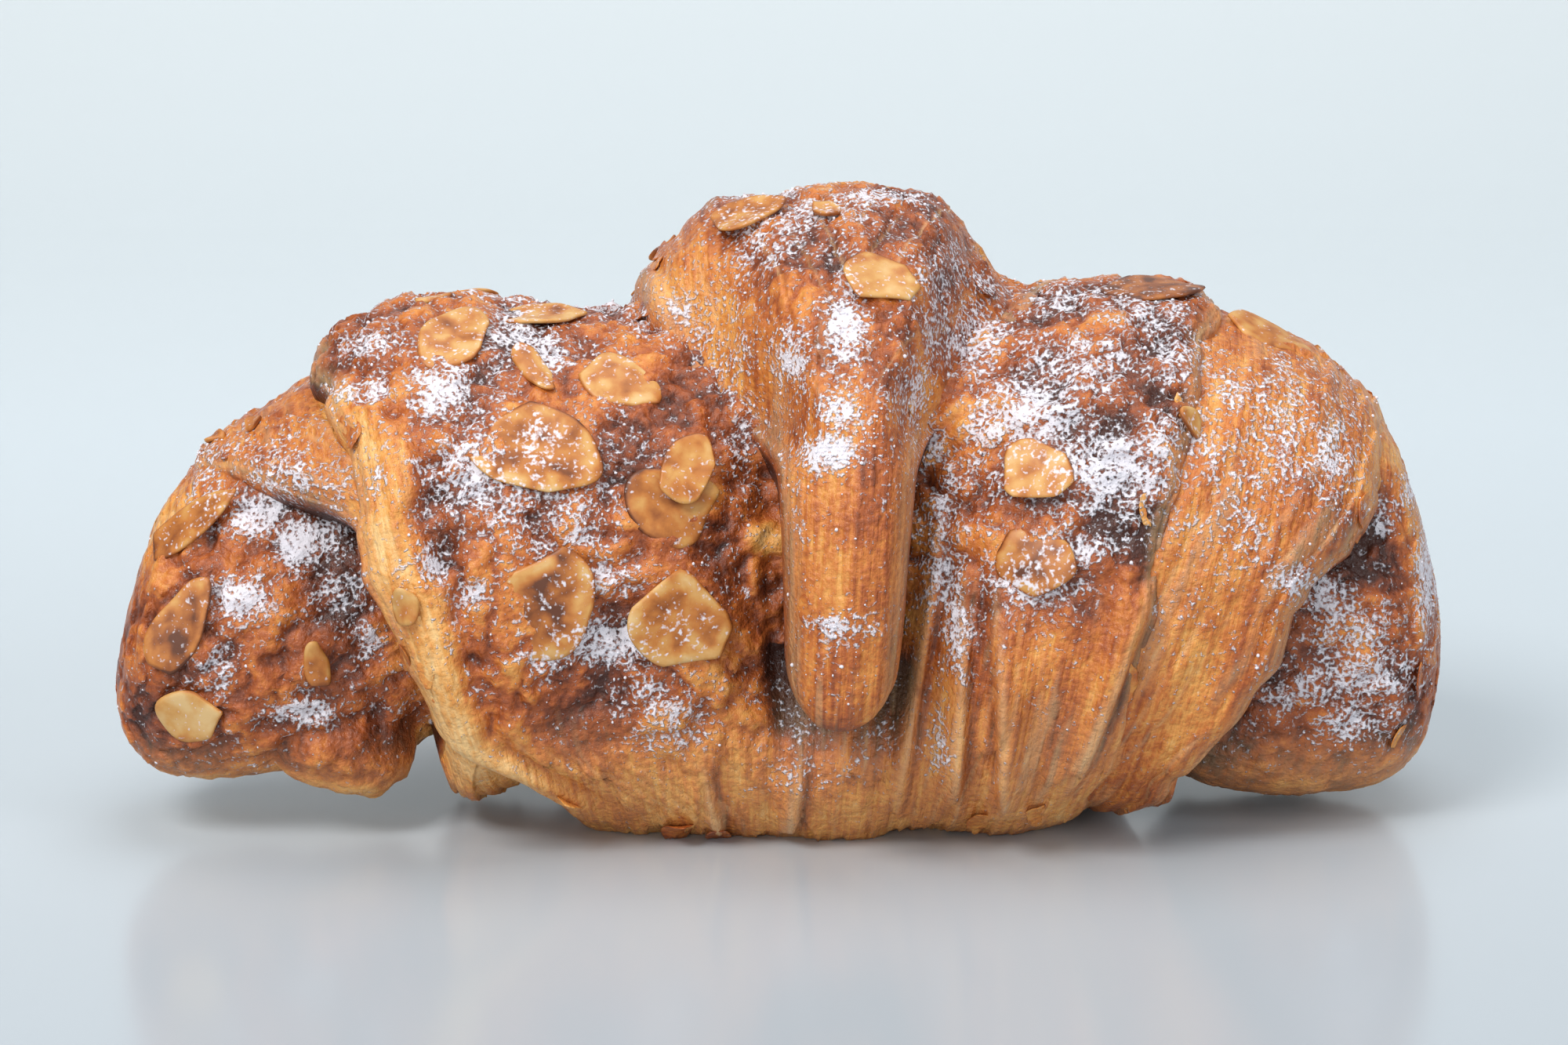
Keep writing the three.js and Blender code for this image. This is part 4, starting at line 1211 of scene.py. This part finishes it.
# Flakes of almond

SLICE_THICKNESS = 0.65
SLICE_RINGS = 14
SLICE_SPOKES = 56
BIT_RINGS = 8
BIT_SPOKES = 28
ALMOND_POINT = 0.22
SINK = 0.2
OUTLINE_WAVES = ((2, 0.04), (5, 0.03))
BREAK_FACING = 0.2
BREAK_DEPTHS = (0.78, 0.95)
BREAK_COUNTS = (2, 6)
SEAT_WIDTH = 0.45
SEAT_HEIGHT = 6
SEAT_PERCENTILE = 86
PHASES = (0, 6)


def crust_frame(station, clock, span):
    """A point on the smooth crust with its normal and the directions along the roll and along the rolling."""
    step = span / (crust_radius(station, clock)[0] * RAD)

    def at(du, turn):
        spot = crust_radius(station + du, clock + turn)[0]
        return roll_point(station + du, clock + turn, spot)
    middle = at(0, 0)
    right = at(span, 0) - at(-span, 0)
    up = at(0, step) - at(0, -step)
    right = right / np.linalg.norm(right)
    normal = np.cross(right, up)
    normal = normal / np.linalg.norm(normal)
    return middle, right, np.cross(normal, right), normal


def slice_outline(angle, draw, cuts):
    """Outline of a slice of almond of half width 1, with a few straight breaks."""
    edge = 1.0
    for waves, depth in OUTLINE_WAVES:
        edge = edge + depth * np.sin(waves * angle + draw.uniform(*PHASES))
    for lean in draw.uniform(0, 2 * np.pi, cuts):
        facing = np.cos(angle - lean)
        cut = draw.uniform(*BREAK_DEPTHS) / np.maximum(facing, BREAK_FACING)
        edge = np.where(facing > BREAK_FACING, np.minimum(edge, cut), edge)
    return edge


def flake_ball(spokes, rings):
    """Points and faces of the ball that every flake is pressed from."""
    bm = bmesh.new()
    bmesh.ops.create_uvsphere(bm, u_segments=spokes, v_segments=rings, radius=1.0)
    points = np.array([vert.co[:] for vert in bm.verts])
    faces = [[vert.index for vert in face.verts] for face in bm.faces]
    bm.free()
    return points, faces


def crust_seat(centre, normal, width, crust_points):
    """Height at which a flake rests on the relief of the crust."""
    off = crust_points - centre
    height = off @ normal
    flat = np.linalg.norm(off - height[:, None] * normal, axis=1)
    near = (flat < SEAT_WIDTH * width) & (np.abs(height) < SEAT_HEIGHT)
    return np.percentile(height[near], SEAT_PERCENTILE)


def flake_axes(station, clock, turn, span):
    """Middle of a flake on the crust, with the directions along it, across it and off the crust."""
    centre, right, up, normal = crust_frame(station, clock, span)
    along = right * np.cos(turn * RAD) + up * np.sin(turn * RAD)
    return centre, along, np.cross(normal, along), normal


def flat_ball(ball, power):
    """A ball's points as angles and distances from its middle, spread towards its rim by a power."""
    angle = np.arctan2(ball[:, 1], ball[:, 0])
    return angle, np.clip(np.hypot(ball[:, 0], ball[:, 1]), 0, 1) ** power


def sheet_side(ball, rho, thickness, squareness):
    """Height of the upper and lower face of a thin sheet with a rounded rim."""
    return 0.5 * thickness * np.sign(ball[:, 2]) * np.sqrt(np.clip(1 - rho ** squareness, 0, 1))


# Looks of a slice: its tilt in degrees, how it curls, twists and ripples in mm, its browning and its sugar
SLICE_SEED = 100
SLICE_TILT = 8
SLICE_SPAN = 0.25
SLICE_SPREAD = 0.8
SLICE_SQUARENESS = 16
CURL_ALONG = 0.5
CURL_ACROSS = 0.6
TWIST = 0.6
RIPPLE = 0.2
RIPPLE_SIZE = 2.5
RIM_PATCH = 3
RIM_TOAST = (0.5, 0.92)
RIM_UNEVEN = 0.4
SLICE_PATCH = 1.6
SLICE_PATCHES = 0.75
SKIN_RIM = (0.9, 0.97)
SKIN_ARC = (-0.5, 0.6)
SKIN_BROWN = 0.4
SLICE_DUST = 0.6
HEAP_RIM = (0.9, 0.3)


def almond_flake(slice_row, number, ball, crust_points, lift=0.0):
    """One thin curled flake of almond on the crust: its points, browning and sugar."""
    station, clock, length, width, turn, middle_brown, rim_brown, sugar = slice_row
    draw = np.random.default_rng(SLICE_SEED + number)
    centre, along, side, normal = flake_axes(station, clock, turn, SLICE_SPAN * length)
    seat = crust_seat(centre, normal, width, crust_points) + lift
    pitch, bank = draw.uniform(-SLICE_TILT, SLICE_TILT, 2) * RAD
    angle, rho = flat_ball(ball, SLICE_SPREAD)
    outline = slice_outline(angle, draw, draw.integers(*BREAK_COUNTS))
    flat_x = 0.5 * length * rho * np.cos(angle) * outline
    flat_y = 0.5 * width * rho * np.sin(angle) * outline * (1 - ALMOND_POINT * np.cos(angle))
    thick = sheet_side(ball, rho, SLICE_THICKNESS, SLICE_SQUARENESS)
    curl = draw.uniform(-CURL_ALONG, CURL_ALONG) * (2 * flat_x / length) ** 2
    curl = curl + draw.uniform(-CURL_ACROSS, CURL_ACROSS) * (2 * flat_y / width) ** 2
    twist = draw.uniform(-TWIST, TWIST) * 4 * flat_x * flat_y / (length * width)
    ripple = swing(value_noise(flat_x / RIPPLE_SIZE + number, flat_y / RIPPLE_SIZE, 4.0), RIPPLE)
    sheet = thick + curl + twist + ripple + flat_x * np.sin(pitch) + flat_y * np.sin(bank)
    place = centre + np.outer(flat_x, along) + np.outer(flat_y, side)
    place = place + np.outer(sheet + seat + SLICE_THICKNESS / 2 - SINK, normal)
    patch = layered_noise(flat_x / RIM_PATCH + number, flat_y / RIM_PATCH, 2.0, 3)
    brown = middle_brown + (rim_brown - middle_brown) * fade(*RIM_TOAST, rho + swing(patch, RIM_UNEVEN))
    spots = layered_noise(flat_x / SLICE_PATCH, flat_y / SLICE_PATCH + number, 7.0, 2)
    skin = fade(*SKIN_RIM, rho) * fade(*SKIN_ARC, np.cos(angle - draw.uniform(*PHASES)))
    dust = SLICE_DUST * sugar_cover(place, np.full(len(place), normal[2]))
    white = np.maximum(dust, sugar * fade(*HEAP_RIM, rho)) * (thick > 0)
    return place, brown + swing(spots, SLICE_PATCHES) + SKIN_BROWN * skin, white


def flake_piece(name, flakes, faces, material):
    """One piece of one or many flakes pressed from the same ball."""
    size = len(flakes[0][0])
    points = np.concatenate([flake[0] for flake in flakes])
    whole = [[corner + size * number for corner in face] for number in range(len(flakes)) for face in faces]
    mesh = bpy.data.meshes.new(name)
    mesh.from_pydata(to_metres(points).tolist(), [], whole)
    add_attribute(mesh, "darkness", np.concatenate([flake[1] for flake in flakes]))
    add_attribute(mesh, "sugar", np.concatenate([flake[2] for flake in flakes]))
    return finish_piece(name, mesh, material, merge=False)


# Broken almond bits, by the same repeatable rule as in the solids

# Given one by one: station, clock angle, length, width and turn
HAND_BITS = [(-58, 258, 6.5, 3.5, 85), (46, 310, 5, 3.2, -20), (-44, 272, 5, 4, 80)]
BIT_COUNT = 28
BIT_LENGTHS = (3.0, 5.5)
BIT_STATIONS = (-70.0, 70.0)
BIT_CLOCKS = (-20.0, 125.0)
BIT_SHAPE = 0.7
BIT_CLEARANCE = 2.5
# Browning of the middle and of the rim, and sugar, as for the slices
BIT_LOOKS = (0.5, 0.35, 0.15)
BIT_SEED = 200
WAVE_STEPS = (127.1, 311.7)
WAVE_HEIGHT = 43758.5453


def drawn(i, j):
    """Repeatable random number from 0 to 1 for a pair of whole numbers."""
    wave = np.sin(i * WAVE_STEPS[0] + j * WAVE_STEPS[1]) * WAVE_HEIGHT
    return wave - np.floor(wave)


def pick(span, share):
    """Value at a share of the way through a span."""
    return span[0] + (span[1] - span[0]) * share


def bit_places():
    """The listed bits and the drawn ones, which keep clear of every slice that lies on the crust."""
    def centre(row):
        return roll_point(row[0], row[1], crust_radius(row[0], row[1])[0])
    taken = [(centre(row), row[2] / 2) for row in FRONT_SLICES[:-1] + BACK_SLICES + HAND_BITS]
    places = list(HAND_BITS)
    i = 0
    while len(places) < len(HAND_BITS) + BIT_COUNT:
        i += 1
        length = pick(BIT_LENGTHS, drawn(i, 1))
        row = (pick(BIT_STATIONS, drawn(i, 2)), pick(BIT_CLOCKS, drawn(i, 3)), length, BIT_SHAPE * length,
               TURN * drawn(i, 4))
        at = centre(row)
        if all(np.linalg.norm(at - other) > size + length / 2 + BIT_CLEARANCE for other, size in taken):
            places.append(row)
            taken.append((at, length / 2))
    return places


# Shards of crust that stand off the dough's edges. A pair holds the least and the most of a random draw.

SHARD_COUNT = 70
SHARD_LENGTHS = (2.5, 6.5)
SHARD_LENGTH_POWER = 1.5
SHARD_SHAPES = (0.35, 0.7)
SHARD_INSETS = (0.5, 4.0)
SHARD_TURN = 90
SHARD_TURNS = (-40, 40)
SHARD_TILTS = (-14, 4)
SHARD_START = 15
# Clock angles under the loaf, where none stands
SHARD_BARE = (150, 212)
SHARD_THICKNESS = 0.3
SHARD_SINK = 0.35
SHARD_SPREAD = 0.7
SHARD_SQUARENESS = 8
SHARD_LEAST = 0.7
SHARD_UNEVEN = 0.6
SHARD_CURLS = (0.02, 0.08)
SHARD_CUP = 0.1
SHARD_HINGE = 0.35
SHARD_SEAT = 2.0
SHARD_BROWN = (0.25, 0.65)
SHARD_PATCHES = 0.4
SHARD_PATCH = 2
SHARD_SPAN = 1.5
SHARD_SEED = 600
PLACES_SEED = 55
# Given one by one: station, clock angle, length, width, turn and tilt
HAND_SHARDS = [(-14, 352, 6, 4, 60, 4), (-15, 214, 9, 4, 85, 12), (-9, 213, 7, 3, 100, 10),
               (30, 216, 7, 3, 80, 10), (38, 220, 6, 3, 95, 12), (81, 258, 5, 3, 90, 10),
               (79, 236, 4, 2.5, 70, 14), (22, 352, 6, 4, -60, 12)]


def crust_shard(row, number, ball, crust_points):
    """One thin ragged shard of baked dough, tilted off the crust and kept above the table."""
    station, clock, length, width, turn, tilt = row
    draw = np.random.default_rng(SHARD_SEED + number)
    centre, along, side, normal = flake_axes(station, clock, turn, SHARD_SPAN)
    angle, rho = flat_ball(ball, SHARD_SPREAD)
    uneven = layered_noise(2 * np.cos(angle) + number, 2 * np.sin(angle), 3.0, 3)
    ragged = SHARD_LEAST + SHARD_UNEVEN * uneven
    flat_x = 0.5 * length * rho * np.cos(angle) * ragged
    flat_y = 0.5 * width * rho * np.sin(angle) * ragged
    sheet = sheet_side(ball, rho, SHARD_THICKNESS, SHARD_SQUARENESS)
    sheet = sheet + draw.uniform(*SHARD_CURLS) * flat_x ** 2 + SHARD_CUP * flat_y ** 2 * draw.uniform(-1, 1)
    sheet = sheet + (flat_y + SHARD_HINGE * width) * np.tan(tilt * RAD)
    seat = crust_seat(centre, normal, max(width, SHARD_SEAT), crust_points)
    place = centre + np.outer(flat_x, along) + np.outer(flat_y, side)
    place = place + np.outer(sheet + seat - SHARD_SINK, normal)
    spots = layered_noise(flat_x / SHARD_PATCH, flat_y / SHARD_PATCH + number, 1.0, 2)
    darkness = draw.uniform(*SHARD_BROWN) + swing(spots, SHARD_PATCHES)
    place[:, 2] = np.maximum(place[:, 2], 0)
    white = sugar_cover(place, np.full(len(place), normal[2])) * (ball[:, 2] > 0)
    return place, darkness, white


def shard_places():
    """Seeded places along the visible edges of the wraps, after the listed ones."""
    draw = np.random.default_rng(PLACES_SEED)
    places = list(HAND_SHARDS)
    while len(places) < SHARD_COUNT:
        number = draw.integers(0, len(WRAPS))
        wrap = WRAPS[number]
        roll = draw.uniform(wrap.start + SHARD_START, wrap.end)
        side = draw.choice((-1.0, 1.0))
        inset = draw.uniform(*SHARD_INSETS)
        station = TONGUE_U + side * (wrap.reach(roll, side * PAST_END) - inset)
        clock = roll % TURN
        length = pick(SHARD_LENGTHS, draw.random() ** SHARD_LENGTH_POWER)
        width = length * draw.uniform(*SHARD_SHAPES)
        turn = SHARD_TURN + draw.uniform(*SHARD_TURNS)
        row = (station, clock, length, width, turn, side * draw.uniform(*SHARD_TILTS))
        on_top = crust_radius(station, clock)[1] == number
        if on_top and not SHARD_BARE[0] < clock < SHARD_BARE[1]:
            places.append(row)
    return places


# Loose grains of icing sugar: sizes in mm

GRAIN_COUNT = 6000
GRAIN_SEED = 21
GRAIN_SMALLEST = 0.08
GRAIN_SPREAD = 0.16
GRAIN_NARROWEST = 0.7
GRAIN_STRETCH = 0.6
GRAIN_STANDS = 0.4


def scatter_grains(name, count, crust, weights, normals, material):
    """Grains of icing sugar lying where the dusting is thick."""
    draw = np.random.default_rng(GRAIN_SEED)
    chosen = draw.choice(len(crust), count, p=weights / weights.sum())
    bm = bmesh.new()
    bmesh.ops.create_icosphere(bm, subdivisions=1, radius=1.0)
    seed_points = np.array([vert.co[:] for vert in bm.verts])
    seed_faces = np.array([[vert.index for vert in face.verts] for face in bm.faces])
    bm.free()
    size = GRAIN_SMALLEST + GRAIN_SPREAD * draw.random(count) ** 2
    stretch = GRAIN_NARROWEST + GRAIN_STRETCH * draw.random((count, 1, 3))
    centres = crust[chosen] + normals[chosen] * (GRAIN_STANDS * size)[:, None]
    grains = seed_points[None] * stretch * size[:, None, None] + centres[:, None]
    faces = seed_faces[None] + (np.arange(count) * len(seed_points))[:, None, None]
    mesh = bpy.data.meshes.new(name)
    mesh.from_pydata(to_metres(grains.reshape(-1, 3)).tolist(), [], faces.reshape(-1, 3).tolist())
    return finish_piece(name, mesh, material, merge=False)


def join_loaf(piece, slot, *nodes):
    """Fixes a piece to the loaf in place of the solids it stands for; the colour slot is not used."""
    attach(piece, "root")
    if nodes:
        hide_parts(*nodes)


# The loaf: each wrap's name, dough, rows and columns (across its middle and each edge), and how it is dressed
WRAP_PIECES = [
    ("tongue_and_dome", OUTER_WRAP, (420, 120, 22), dress_dome),
    ("lobes", MIDDLE_WRAP, (380, 165, 18), dress_lobes),
    ("bands", INNER_WRAP, (250, 190, 16), dress_bands),
]
BACK_SEED = 40
STACK_LIFT = 1.3

crust = baked_crust()
almond = flaked_almond()
icing = sugar_grain()

layers = [wrap_piece(*row, crust) for row in WRAP_PIECES]
layers.append(core_piece("core_and_tips", crust))
for piece, *_ in layers:
    join_loaf(piece, "crust", "croissant")
all_points = np.concatenate([points.reshape(-1, 3) for _, points, _, _ in layers])
all_normals = np.concatenate([normals.reshape(-1, 3) for _, _, normals, _ in layers])
all_sugar = np.concatenate([sugar.reshape(-1) for *_, sugar in layers])

slice_ball, slice_faces = flake_ball(SLICE_SPOKES, SLICE_RINGS)
bit_ball, bit_faces = flake_ball(BIT_SPOKES, BIT_RINGS)
for side, slices, seed in (("front", FRONT_SLICES, 0), ("back", BACK_SLICES, BACK_SEED)):
    for index, slice_row in enumerate(slices):
        name = f"almond_slice_{side}_{index + 1:02d}"
        stacked = slice_row is FRONT_SLICES[-1]
        lift = STACK_LIFT if stacked else 0.0
        flake = almond_flake(slice_row, seed + index, slice_ball, all_points, lift)
        piece = flake_piece("flaked_" + name, [flake], slice_faces, almond)
        join_loaf(piece, "almond", name)

bits = [almond_flake((*row, *BIT_LOOKS), BIT_SEED + index, bit_ball, all_points)
        for index, row in enumerate(bit_places())]
join_loaf(flake_piece("almond_bits", bits, bit_faces, almond), "almond", "croissant")
shards = [crust_shard(row, index, bit_ball, all_points) for index, row in enumerate(shard_places())]
join_loaf(flake_piece("crust_shards", shards, bit_faces, crust), "crust", "croissant")

grains = scatter_grains("icing_sugar_grains", GRAIN_COUNT, all_points, all_sugar ** 2, all_normals, icing)
join_loaf(grains, "crust")

# Stage: a pale satin table that sweeps up behind, in metres

FLOOR_HALF = 1.6
FLOOR_LENGTH = 3.2
FLOOR_FRONT = 1.2
FLOOR_ROWS = 60
SWEEP_START = 0.45
SWEEP_RADIUS = 0.5
# Painted fall-off of the light across the table: dark in front, light behind.
TABLE_LIGHT_FALLOFF = [(0.0, "a9b1b8"), (0.15, "bcc5cc"), (0.4, "d3dde4"), (1.0, "f4fbfd")]
FALLOFF_FROM = -0.15
FALLOFF_TO = 0.8
TABLE_ROUGHNESS = 0.18
TABLE_SPECULAR = 0.4


def satin_table():
    """Pale grey satin with a painted fall-off of the light: darker near the camera, lighter behind, with a
    soft reflection under the loaf.
    """
    material, tree, shader = new_material("satin_table")
    place = add_node(tree, "ShaderNodeTexCoord").outputs["Object"]
    depth = add_node(tree, "ShaderNodeSeparateXYZ", links={"Vector": place}).outputs["Y"]
    far = add_node(tree, "ShaderNodeMapRange", values={"From Min": FALLOFF_FROM, "From Max": FALLOFF_TO},
                   links={"Value": depth})
    tint = add_node(tree, "ShaderNodeValToRGB", links={"Fac": far.outputs["Result"]})
    set_ramp(tint, TABLE_LIGHT_FALLOFF)
    tree.links.new(tint.outputs["Color"], shader.inputs["Base Color"])
    shader.inputs["Roughness"].default_value = TABLE_ROUGHNESS
    shader.inputs["Specular IOR Level"].default_value = TABLE_SPECULAR
    return material


def stage_sweep():
    """The table as one sheet, flat under the loaf and bent up behind it."""
    bm = bmesh.new()
    bmesh.ops.create_grid(bm, x_segments=2, y_segments=FLOOR_ROWS, size=1.0)
    for vert in bm.verts:
        run = (vert.co.y + 1) / 2 * FLOOR_LENGTH - FLOOR_FRONT
        past = max(run - SWEEP_START, 0)
        bend = min(past / SWEEP_RADIUS, np.pi / 2)
        rest = max(past - SWEEP_RADIUS * np.pi / 2, 0)
        y = min(run, SWEEP_START) + SWEEP_RADIUS * np.sin(bend)
        z = SWEEP_RADIUS * (1 - np.cos(bend)) + rest
        vert.co = Vector((vert.co.x * FLOOR_HALF, y, z))
    mesh = bpy.data.meshes.new("table_sweep")
    bm.to_mesh(mesh)
    bm.free()
    for face in mesh.polygons:
        face.use_smooth = True
    mesh.materials.append(satin_table())
    sweep = add_object("table_sweep", mesh)


stage_sweep()

camera_data = bpy.data.cameras.new("camera")
camera_data.lens = CAMERA_LENS
camera_data.sensor_width = CAMERA_SENSOR
camera = add_object("camera", camera_data)
toward = np.array([0.0, np.cos(CAMERA_TILT * RAD), -np.sin(CAMERA_TILT * RAD)])
camera.location = Vector((LOOK_AT + LOAF_SHIFT - CAMERA_AWAY * toward) * MM)
camera.rotation_euler = ((90 - CAMERA_TILT) * RAD, 0, 0)
bpy.context.scene.camera = camera

# Lights: name, place and size in metres, power in watts, and tint
SOFT_LIGHTS = [
    ("key_softbox", (-0.45, -0.6, 0.8), (0.4, 0.4), 8.0, (1.0, 0.98, 0.96)),
    ("top_softbox", (0.1, 0.05, 0.95), (0.8, 0.6), 4.3, (1.0, 1.0, 1.0)),
    ("front_fill", (-0.25, -0.95, 0.22), (0.9, 0.4), 2.7, (1.0, 0.99, 0.97)),
    ("right_fill", (0.75, -0.55, 0.5), (0.4, 0.5), 2.6, (0.96, 0.98, 1.0)),
]
LIGHTS_AIM = (0, 0, 0.04)
STUDIO_TINT = "e6eef4"
STUDIO_STRENGTH = 0.3

for name, place, size, power, tint in SOFT_LIGHTS:
    data = bpy.data.lights.new(name, "AREA")
    data.shape = "RECTANGLE"
    data.size, data.size_y = size
    data.energy = power
    data.color = tint
    light = add_object(name, data)
    light.location = place
    light.rotation_euler = (Vector(LIGHTS_AIM) - Vector(place)).to_track_quat("-Z", "Y").to_euler()

world = bpy.data.worlds.new("studio")
bpy.context.scene.world = world
world.use_nodes = True
background = world.node_tree.nodes["Background"]
background.inputs["Color"].default_value = colour(STUDIO_TINT)
background.inputs["Strength"].default_value = STUDIO_STRENGTH
bpy.context.scene.view_settings.view_transform = "Standard"
